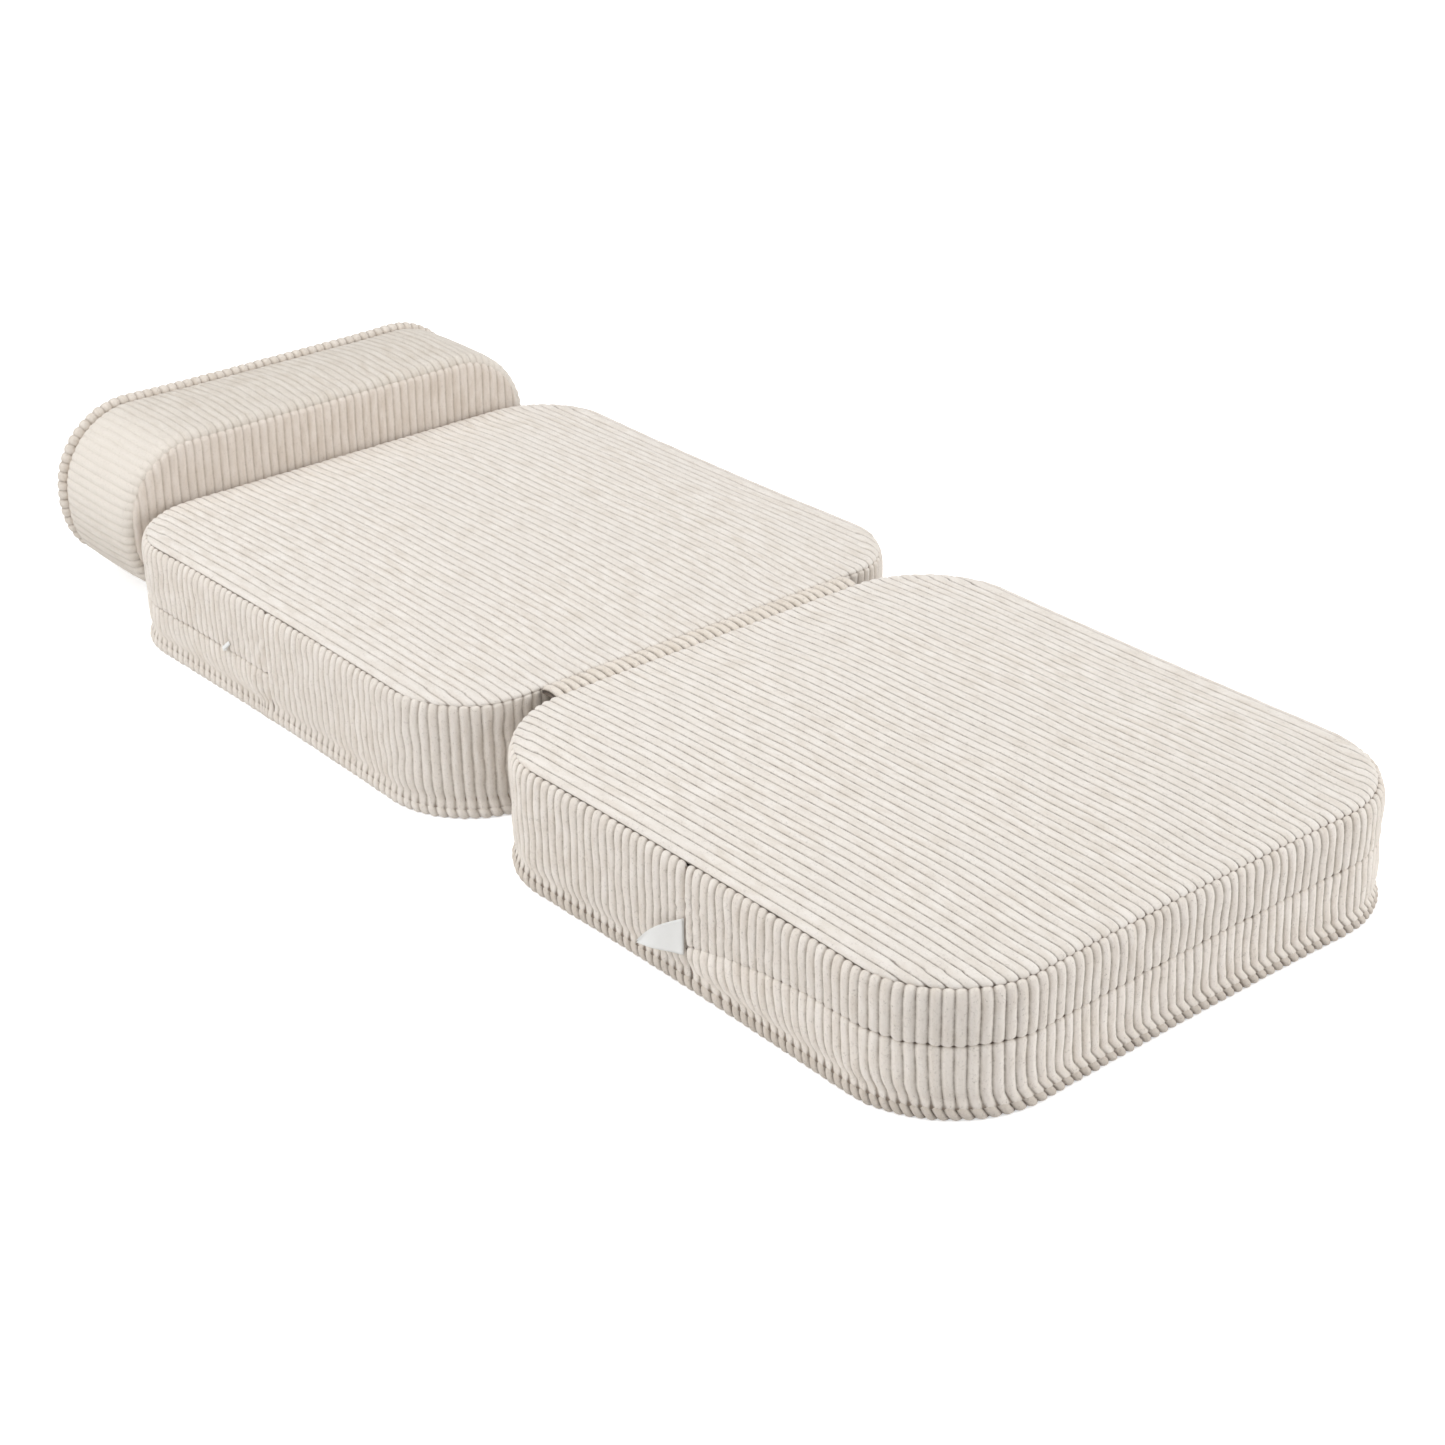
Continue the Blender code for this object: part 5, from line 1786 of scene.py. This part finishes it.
@dataclass
class BolsterCover:
    """Corduroy cover of the bolster, modelled lying on its back: plan in X and Z, depth towards the front."""

    width: float = 0.540
    height: float = 0.197
    depth: float = 0.157
    corner_radius: float = 0.092
    front_y: float = 0.57115
    front_roll: float = 0.020
    front_round: float = 0.017
    fullness: float = 2.2
    seam_angle: float = 58.0
    rim_radius: float = 0.0075
    rim_inset: float = 0.0038
    rim_lift: float = 0.0005
    rib_height: float = 0.0018
    rim_rib: float = 0.0022
    slump: float = 0.0105
    base_half: float = 0.2040
    zip_middle: float = 0.6482
    zip_half: float = 0.1585
    base_front: float = 0.5842
    base_back: float = 0.7158
    zip_from: float = -0.1535
    zip_to: float = 0.1445
    zip_level: float = 0.0022
    slot_half: float = 0.0032
    base_level: float = 0.0016
    foot_gap: float = 0.0036
    rib_sway: float = 0.0012
    front_hollow: float = 0.0016
    face_unevenness: float = 0.0006
    crease_depth: float = 0.0052
    swell: float = 0.0030
    seed: int = 40

    @property
    def outline(self) -> Outline:
        """Face of the bolster, its +Y being up."""
        return Outline(self.width, self.height, self.corner_radius)

    def world(self, points: np.ndarray) -> np.ndarray:
        """World places of points lying on the back: their height is the depth from the back.

        Args:
            points: places whose last axis is x, y and z.

        Returns:
            The moved places.
        """
        moved = np.array(points, float)
        moved[..., 1] = self.front_y + self.depth - points[..., 2]
        moved[..., 2] = points[..., 1] + self.height / 2
        moved[..., 0] -= self.slump * rise(moved[..., 2], 0.05)
        return moved

    def roll_curve(self, angle: np.ndarray) -> tuple:
        """Inset and depth on the round between the gusset and the front.

        Args:
            angle: 0 on the gusset to a right angle on the front.

        Returns:
            Insets and depths.
        """
        power = 2 / self.fullness
        level = self.depth - self.front_round * fallen(np.sin(angle), power)
        return self.front_roll * fallen(np.cos(angle), power), level

    def build_gusset(self) -> bpy.types.Object:
        """Ribbed cover over the top and round the ends, rolling over the front edge to its seam.

        Returns:
            The smooth cover, not yet ribbed.
        """
        plan = self.outline
        bottom = plan.inner[0] + math.pi * self.corner_radius / 2 / 6
        run, phase = rib_columns(plan.total - 2 * bottom)
        start = plan.total / 2 + bottom
        back = 2 * self.rim_radius - 0.004
        share = (1 - np.cos(np.linspace(0, math.pi, WALL_ROWS))) / 2
        wall = blend_values(back, self.depth - self.front_round, share)
        angle = np.radians(self.seam_angle) * np.linspace(0, 1, SHOULDER_ROWS + 1)[1:]
        roll_inset, roll_level = self.roll_curve(angle)
        inset = np.concatenate([np.zeros(WALL_ROWS), roll_inset])[:, None] + np.zeros(len(run))
        level = np.concatenate([wall, roll_level])[:, None] + np.zeros(len(run))
        ends = np.minimum(run, run[-1] - run)
        loose = np.sin(math.pi * np.clip(level / self.depth, 0, 1)) * rise(ends, 0.03)
        sway = self.rib_sway * waves(self.seed + 1, (run[None, :], 0.13), (level, 0.11)) * loose
        creases = self.crease_depth * waves(self.seed + 2, (run[None, :], 0.030), (level, 0.30))
        creases = creases * loose * np.exp(-ends / 0.050)
        swell = self.swell * np.sin(math.pi * np.clip(level / self.depth, 0, 1)) ** 0.7
        point = plan.at(run[None, :] + start + sway)
        flat = point.place - point.outward * (inset - swell + self.swell - creases)[..., None]
        points = with_height(flat, level)
        pulled, down, fade = pull_in(points, Seam(0.0070, 0.020), ROLL_SEAM)
        points = blend_values(points, pulled, ease(np.clip(ends / 0.045, 0.15, 1))[None, :, None])
        return closed_strip("bolster_gusset_cover", points, phase, down, ended(fade), self.world)

    def face_grid(self, plan: Outline, level: Callable, rows: int) -> tuple:
        """Ribbed face of the bolster with its ribs upright.

        Args:
            plan: outline of the face.
            level: inset towards the outline and depth from the back, at each depth inside the outline.
            rows: rows of the grid.

        Returns:
            Points, rib phases, heights and how fully the ribs stand.
        """
        x, phase, half = plan.columns()
        y = crowded(rows, 1.9)[:, None] * half[None, :] + plan.centre_y
        x = np.broadcast_to(x[None, :], y.shape)
        deep, outward, _ = plan.depth(x, y)
        shift, height = level(deep, x, y)
        flat = np.stack([x, y], -1) + outward * shift[..., None]
        points = with_height(flat, height)
        return points, phase, y, ended(end_round(deep, 0.0045))

    def close_face(self, name: str, grid: tuple, inward: float) -> bpy.types.Object:
        """Close a face grid behind its edge.

        Args:
            name: the piece's name.
            grid: what face_grid gave.
            inward: step in depth from the face to its inner side, below zero for the front.

        Returns:
            The smooth cover, not yet ribbed.
        """
        points, phase, along, stand = grid
        edge = grid_ring(points)
        skirt = self.world(edge + np.array([0, 0, inward]))
        middle = self.world(edge.mean(0) + np.array([0, 0, inward * 1.5]))
        shell = ShellMaker()
        shell.add_cushion(self.world(points), (phase[None, :], along, stand), skirt, middle, inward < 0)
        return shell.make(name)

    def build_front(self) -> bpy.types.Object:
        """Front face against the middle pad, from the seam on the round.

        Returns:
            The smooth cover, not yet ribbed.
        """
        seam_angle = math.radians(self.seam_angle)
        edge = float(self.roll_curve(np.array(seam_angle))[0]) + 0.0004
        height = self.height - 2 * edge - self.foot_gap
        plan = Outline(self.width - 2 * edge, height, self.corner_radius - edge, centre_y=self.foot_gap / 2)
        reach = self.front_roll - edge

        def level(deep: np.ndarray, x: np.ndarray, y: np.ndarray) -> tuple:
            """Shift and depth of the front face."""
            part = np.clip(deep / reach, 0, 1)
            inset, height = self.roll_curve(blend_values(seam_angle, math.pi / 2, part**0.8))
            shift = np.where(deep < reach, deep + edge - inset, 0)
            dip = TOP_SEAM.dip(deep)
            hollow = self.front_hollow * rise(deep, 0.05)
            uneven = self.face_unevenness * waves(self.seed, (x, 0.15), (y, 0.09)) * rise(deep, 0.03)
            return shift, height - self.rib_height - dip - hollow + uneven - 0.0004

        return self.close_face("bolster_front_cover", self.face_grid(plan, level, 56), -0.003)

    def build_back(self) -> bpy.types.Object:
        """Back face, swelling inside its rim.

        Returns:
            The smooth cover, not yet ribbed.
        """
        edge = self.rim_inset + self.rim_radius
        base = self.rim_lift + 2 * self.rim_radius
        height = self.height - edge - base
        plan = Outline(self.width - 2 * edge, height, self.corner_radius - edge, centre_y=(base - edge) / 2)

        def level(deep: np.ndarray, x: np.ndarray, y: np.ndarray) -> tuple:
            """Shift and depth of the back face."""
            swell = self.rim_radius * (1 - rise(deep, 0.05))
            dip = 0.002 * (1 - end_round(deep, 0.006))
            uneven = self.face_unevenness * waves(self.seed + 9, (x, 0.2), (y, 0.1)) * rise(deep, 0.03)
            return 0 * deep, swell + 0.0032 + dip + uneven

        return self.close_face("bolster_back_cover", self.face_grid(plan, level, 44), 0.003)

    def build_rim(self) -> bpy.types.Object:
        """Thick rim of short pegs round the back.

        Returns:
            The smooth roll, whose ribs become the pegs.
        """
        base = self.rim_lift + self.rim_radius + 0.0011
        top = self.height - self.rim_inset
        plan = Outline(
            self.width - 2 * self.rim_inset,
            top - base,
            self.corner_radius - self.rim_inset,
            centre_y=(top + base) / 2 - self.height / 2,
        )
        run, phase = rib_columns(plan.total)
        run, phase = run[:-1], phase[:-1]
        point = plan.at(run)
        turn = np.linspace(0, 2 * math.pi, PEG_SIDES, endpoint=False)[:, None]
        radius = self.rim_radius - self.rim_rib
        inset = -radius * np.cos(turn) + 0 * run
        level = self.rim_radius + radius * np.sin(turn) + 0 * run
        flat = point.place[None] - point.outward[None] * inset[..., None]
        points = with_height(flat, level)
        shell = ShellMaker()
        along = np.broadcast_to(turn * self.rim_radius, level.shape)
        numbers = shell.add_points(self.world(points), phase[None, :], along, 1.0)
        shell.add_quads(numbers, wrap_rows=True, wrap_columns=True)
        return shell.make("bolster_rim_cover", float(round(plan.total / RIB_PITCH)))

    def build_base(self) -> bpy.types.Object:
        """Two halves of the base cloth, parting round the zip.

        Returns:
            The smooth cloth, not yet ribbed.
        """
        shell = ShellMaker()
        run, phase = rib_columns(2 * self.base_half, PLAIN_COLUMNS)
        x = run - self.base_half
        slot = self.slot_half * rise(self.zip_half - np.abs(x), 0.004)
        front = (self.zip_middle - 0.0001 - slot, self.base_front)
        back = (self.zip_middle + 0.0001 + slot, self.base_back)
        for inner, outer in (front, back):
            share = np.linspace(0, 1, 14)[:, None]
            y = blend_values(inner[None, :], outer, share)
            points = np.stack([np.broadcast_to(x[None, :], y.shape), y, np.full(y.shape, self.base_level)], -1)
            edge = np.minimum(np.abs(y - inner[None, :]), np.abs(y - outer))
            ribs = (phase[None, :], y, ended(end_round(edge, 0.004)))
            skirt = grid_ring(points) + np.array([0, 0, 0.0012])
            middle = points.reshape(-1, 3).mean(0) + np.array([0, 0, 0.0013])
            shell.add_cushion(points, ribs, skirt, middle, outer < self.zip_middle)
        return shell.make("bolster_base_cover")

    def dress(self, shop: Workshop) -> None:
        """Build, rib and place every piece of the cover.

        Args:
            shop: what it is made with.
        """
        finishes = shop.finishes
        plumping = Plumping("bolster_foam_core", cap=0.0030)
        plumping.simulate()
        made = (
            (self.build_gusset(), finishes.bolster_top, self.rib_height * 0.8, 2.1, ("gusset", "foam_core")),
            (self.build_front(), finishes.bolster, self.rib_height, 2.1, ("front_panel",)),
            (self.build_back(), finishes.bolster, self.rib_height, 2.1, ("back_panel",)),
            (self.build_rim(), finishes.rim, self.rim_rib, 2.6, ("back_welt",)),
            (self.build_base(), finishes.bolster, BASE_RIB, 2.6, ("base_panel",)),
        )
        for piece, nodes in shop.put_on("bolster", Body.BOLSTER, made, plumping):
            "foam_core" in nodes
            if "front_panel" in nodes:
                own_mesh(piece)
        along = np.linspace(self.zip_from, self.zip_to, 40)
        path = np.array([(x, self.zip_middle, self.zip_level) for x in along])
        shop.add_zip("bolster", Body.BOLSTER, path)


@dataclass
class HingeCloth:
    """Ribbed cloth that joins two bodies, its ribs crossing from one seam to the other."""

    name: str
    first: Body
    second: Body
    half_width: float
    start_y: float
    end_y: float
    seam_height: float
    rise: float
    rib_height: float
    thickness: float
    seed: int
    stagger: float = 0.0006
    sag: float = 0.0007
    pucker: float = 0.008

    def build(self) -> bpy.types.Object:
        """Smooth strip, puckered at both seams.

        Returns:
            The smooth strip, not yet ribbed.
        """
        run, phase = rib_columns(2 * self.half_width)
        x = run - self.half_width
        share = ((1 - np.cos(np.linspace(0, math.pi, 22))) / 2)[:, None]
        crossing = 4 * share * (1 - share)
        stagger = self.stagger * waves(self.seed, (x, 0.03)) * (1 - crossing)
        y = blend_values(self.start_y, self.end_y, share) + stagger
        sag = self.sag * waves(self.seed + 1, (x, 0.09)) * crossing
        height = self.seam_height + self.rise * crossing**0.45 + sag
        points = np.stack([np.broadcast_to(x[None, :], y.shape), y, height], -1)
        down, up = row_lengths(points)
        fade = ended(np.minimum(end_round(down, self.pucker), end_round(up, self.pucker)))
        return closed_strip(self.name, points, phase, down, fade, np.array, self.thickness)

    def dress(self, node: str, shop: Workshop, finish: bpy.types.Material) -> None:
        """Build the strip and rib it.

        Args:
            node: the solid it takes the place of.
            shop: what it is made with.
            finish: its material.
        """
        piece = shop.relief.bake(self.build(), finish, rib_height=self.rib_height, roundness=2.3)
        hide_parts(node)
        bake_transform(piece)
        LOG.info("%s: %d triangles", piece.name, triangles(piece))


@dataclass
class RibbonLabel:
    """Blank folded ribbon label, sewn in at its root and curling down to its tip."""

    root_y: float = -0.4052
    length: float = 0.0430
    root_low: float = 0.0322
    root_high: float = 0.0680
    tip_low: float = 0.0318
    tip_high: float = 0.0336
    wall_x: float = -0.2988
    stand: float = 0.0185
    cloth: float = 0.0005
    curl: float = 0.0016
    ripple: float = 0.0009
    opening: float = 0.0016

    def layer(self, share: np.ndarray, up: np.ndarray, lift: float) -> np.ndarray:
        """One layer of the folded ribbon.

        Args:
            share: share of the length, from the root.
            up: share of the height.
            lift: how far this layer stands off the other at its root.

        Returns:
            Places.
        """
        low = blend_values(self.root_low, self.tip_low, share)
        high = blend_values(self.root_high, self.tip_high, 0.62 * share + 0.38 * share**3)
        curl = self.curl * np.sin(math.pi * up) * share
        curl = curl + self.ripple * np.sin(2.4 * math.pi * share + 1.1 * up)
        x = self.wall_x - self.stand * share**0.85 + curl + lift * (1 - share) * (0.4 + 0.6 * up)
        y = self.root_y + self.length * share
        return np.stack([x, y + 0 * x, blend_values(low, high, up)], -1)

    def dress(self, finishes: Finishes) -> None:
        """Build the label and place it.

        Args:
            finishes: the materials.
        """
        share, up = np.meshgrid(np.linspace(0, 1, 26), np.linspace(0, 1, 16))
        shell = ShellMaker()
        for lift in (0.0, -self.opening):
            front = self.layer(share, up, lift)
            back = front + np.array([self.cloth, 0, 0])
            outer = shell.add_points(front, share * 12, up * self.length, 1)
            inner = shell.add_points(back, share * 12, up * self.length, 1)
            shell.add_quads(outer[:, ::-1])
            shell.add_quads(inner)
            shell.add_quads(np.stack([grid_ring(outer), grid_ring(inner)]), wrap_columns=True)
        piece = shell.make("front_ribbon_label")
        piece.data.materials.append(finishes.ribbon)
        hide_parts("front_label")
        settle(piece, Body.FRONT, Slot.RIBBON)


@dataclass
class PullLoop:
    """Folded ribbon loop on a slider."""

    pad: str
    body: Body
    cloth: float = 0.0007
    half_width: float = 0.0021
    opening: float = 0.0012
    rows: int = 28

    def dress(self, finishes: Finishes) -> None:
        """Build the loop over the CAD loop's box and place it.

        Args:
            finishes: the materials.
        """
        low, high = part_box(f"{self.pad}_pull_loop")
        side = 1.0 if low.x > 0 else -1.0
        centre = (low + high) / 2
        reach = Vector((0, high.y - low.y, high.z - low.z))
        span = reach.length * 0.40
        fall = -1.0 if side < 0 else 1.0
        way = Vector((0, fall * reach.y, reach.z)).normalized()
        across = Vector((0, -way.z, way.y))
        turn = np.linspace(0, 2 * math.pi, self.rows, endpoint=False)
        bow = boxy(np.cos(turn), 0.7) * span
        open_out = np.sin(turn) * (self.opening * (0.35 + 0.65 * (0.5 - 0.5 * np.cos(turn))))
        shell = ShellMaker()
        rings = []
        for width, depth in ((-1, 0), (1, 0), (1, 1), (-1, 1)):
            shrink = 1 - depth * self.cloth / span
            aside = np.full(self.rows, self.half_width * width)
            place = np.array(centre)[None, :] + np.outer(bow * shrink, way) + np.outer(aside, across)
            place[:, 0] += side * (open_out * (1 - depth * 0.5))
            rings.append(shell.add_points(place, turn, width * 0.002, 1))
        order = (1, 0, 3, 2) if side > 0 else (0, 1, 2, 3)
        shell.add_quads(np.stack([rings[place] for place in order]), wrap_rows=True, wrap_columns=True)
        piece = shell.make(f"{self.pad}_ribbon_loop")
        piece.data.materials.append(finishes.ribbon)
        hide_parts(f"{self.pad}_pull_loop")
        settle(piece, self.body, Slot.RIBBON)


@dataclass
class Studio:
    """Camera, floor and lights. A lamp has a name, a place, a size in metres and a power in watts."""

    camera_place: tuple = (-1.5339, -1.95995, 1.2755)
    yaw: float = 0.6897
    pitch: float = 0.4753
    roll: float = -0.0174
    focal_pixels: float = 2742.3
    picture_pixels: float = 1445.0
    sensor: float = 36.0
    floor_reach: float = 9.0
    floor_glow: float = 0.58
    world_light: float = 0.45
    backdrop_gain: float = 0.55
    lamps: tuple = (
        ("overhead", (-0.5, 0.3, 3.0), 3.2, 55.0),
        ("side", (-3.4, 0.9, 1.8), 2.4, 51.0),
        ("front", (2.6, -3.4, 1.3), 2.2, 86.0),
    )

    def add_camera(self) -> None:
        """Camera at the photograph's angle."""
        forward = Vector((
            math.cos(self.pitch) * math.sin(self.yaw),
            math.cos(self.pitch) * math.cos(self.yaw),
            -math.sin(self.pitch),
        ))
        level = Vector((math.cos(self.yaw), -math.sin(self.yaw), 0))
        over = level.cross(forward)
        right = level * math.cos(self.roll) + over * math.sin(self.roll)
        up = over * math.cos(self.roll) - level * math.sin(self.roll)
        turn = Matrix((right, up, -forward)).transposed().to_4x4()
        data = bpy.data.cameras.new("camera")
        data.sensor_width = self.sensor
        data.lens = self.focal_pixels / self.picture_pixels * self.sensor
        data.clip_end = 50.0
        made = linked("camera", data)
        made.matrix_world = Matrix.Translation(self.camera_place) @ turn
        bpy.context.scene.camera = made

    def add_floor(self) -> None:
        """Plain pale floor that keeps a soft shadow."""
        mesh = bpy.data.meshes.new("floor")
        reach = self.floor_reach
        corners = [(-reach, -reach, 0), (reach, -reach, 0), (reach, reach, 0), (-reach, reach, 0)]
        mesh.from_pydata(corners, [], [(0, 1, 2, 3)])
        floor = linked("floor", mesh)
        material, graph = new_material("pale_floor")
        tone = graph.noise(graph.own_place(), 3.0)
        light, dark = ((level, level, level, 1) for level in (0.86, 0.82))
        shade = graph.mixed((tone - 0.4).limited(0.0, 0.2), light, dark)
        matt = graph.node("ShaderNodeBsdfDiffuse", {}, {"Color": shade})
        glow = graph.node("ShaderNodeEmission", {}, {"Color": (1, 1, 1, 1), "Strength": self.floor_glow})
        both = graph.node("ShaderNodeAddShader", {}, {0: matt, 1: glow})
        shader = graph.node("ShaderNodeMixShader", {}, {0: graph.seen_directly(), 1: matt, 2: both})
        graph.add("ShaderNodeOutputMaterial", {}, {"Surface": shader})
        mesh.materials.append(material)

    def add_lights(self) -> None:
        """Soft overhead light, a wide side light and an even world."""
        for name, at, size, watts in self.lamps:
            data = bpy.data.lights.new(name, "AREA")
            data.shape = "SQUARE"
            data.size = size
            data.energy = watts
            lamp = linked(name, data)
            lamp.location = at
            lamp.rotation_euler = (Vector((0, 0, 0)) - Vector(at)).to_track_quat("-Z", "Y").to_euler()
        world = bpy.data.worlds.new("studio")
        bpy.context.scene.world = world
        world.use_nodes = True
        graph = Graph(world.node_tree)
        strength = graph.seen_directly() * self.backdrop_gain + self.world_light
        light = graph.node("ShaderNodeBackground", {}, {"Color": (1, 1, 1, 1), "Strength": strength})
        graph.add("ShaderNodeOutputWorld", {}, {"Surface": light})
        bpy.context.scene.view_settings.view_transform = "Standard"


def main() -> None:
    """Dress the sofa."""
    logging.basicConfig(level=logging.INFO, format="%(message)s")
    studio = Studio()
    studio.add_camera()
    studio.add_floor()
    studio.add_lights()
    shop = Workshop(Finishes(), RibRelief(), ZipTeeth())
    front = PadCover(
        name="front",
        body=Body.FRONT,
        place=Place(0.0, -0.40665),
        corner_radius=0.110,
        zip_start=0.316,
        zip_height=0.069,
        label_sag=0.029,
        joins_bolster=False,
        soft=False,
        lean=0.45,
        lean_reach=0.12,
        waviness=0.0011,
        hem_sweep=0.0090,
        hem_notch=0.75,
        zip_calm=0.16,
        seed=11,
    )
    middle = PadCover(
        name="middle",
        body=Body.MIDDLE,
        place=Place(0.0, 0.25335, True),
        corner_radius=0.096,
        zip_start=0.328,
        zip_height=0.052,
        label_sag=0.0,
        joins_bolster=True,
        soft=True,
        lean=0.50,
        lean_reach=0.25,
        waviness=0.0019,
        hem_sweep=0.0052,
        hem_notch=0.35,
        zip_calm=0.060,
        seed=23,
    )
    front.dress(shop)
    middle.dress(shop)
    BolsterCover().dress(shop)
    fold = HingeCloth(
        name="fold_strip_cover",
        first=Body.FRONT,
        second=Body.MIDDLE,
        half_width=0.191,
        start_y=-0.0898,
        end_y=-0.0635,
        seam_height=0.1182,
        rise=0.0048,
        rib_height=0.0040,
        thickness=0.0014,
        seed=61,
    )
    fold.dress("fold_hinge_strip", shop, shop.finishes.strip)
    back = HingeCloth(
        name="back_strip_cover",
        first=Body.MIDDLE,
        second=Body.BOLSTER,
        half_width=0.177,
        start_y=0.5590,
        end_y=0.5830,
        seam_height=0.0014,
        rise=0.0004,
        rib_height=0.0010,
        thickness=0.0007,
        seed=71,
    )
    back.dress("back_hinge_strip", shop, shop.finishes.side)
    RibbonLabel().dress(shop.finishes)
    PullLoop("front", Body.FRONT).dress(shop.finishes)
    PullLoop("middle", Body.MIDDLE).dress(shop.finishes)


if __name__ == "__main__":
    main()
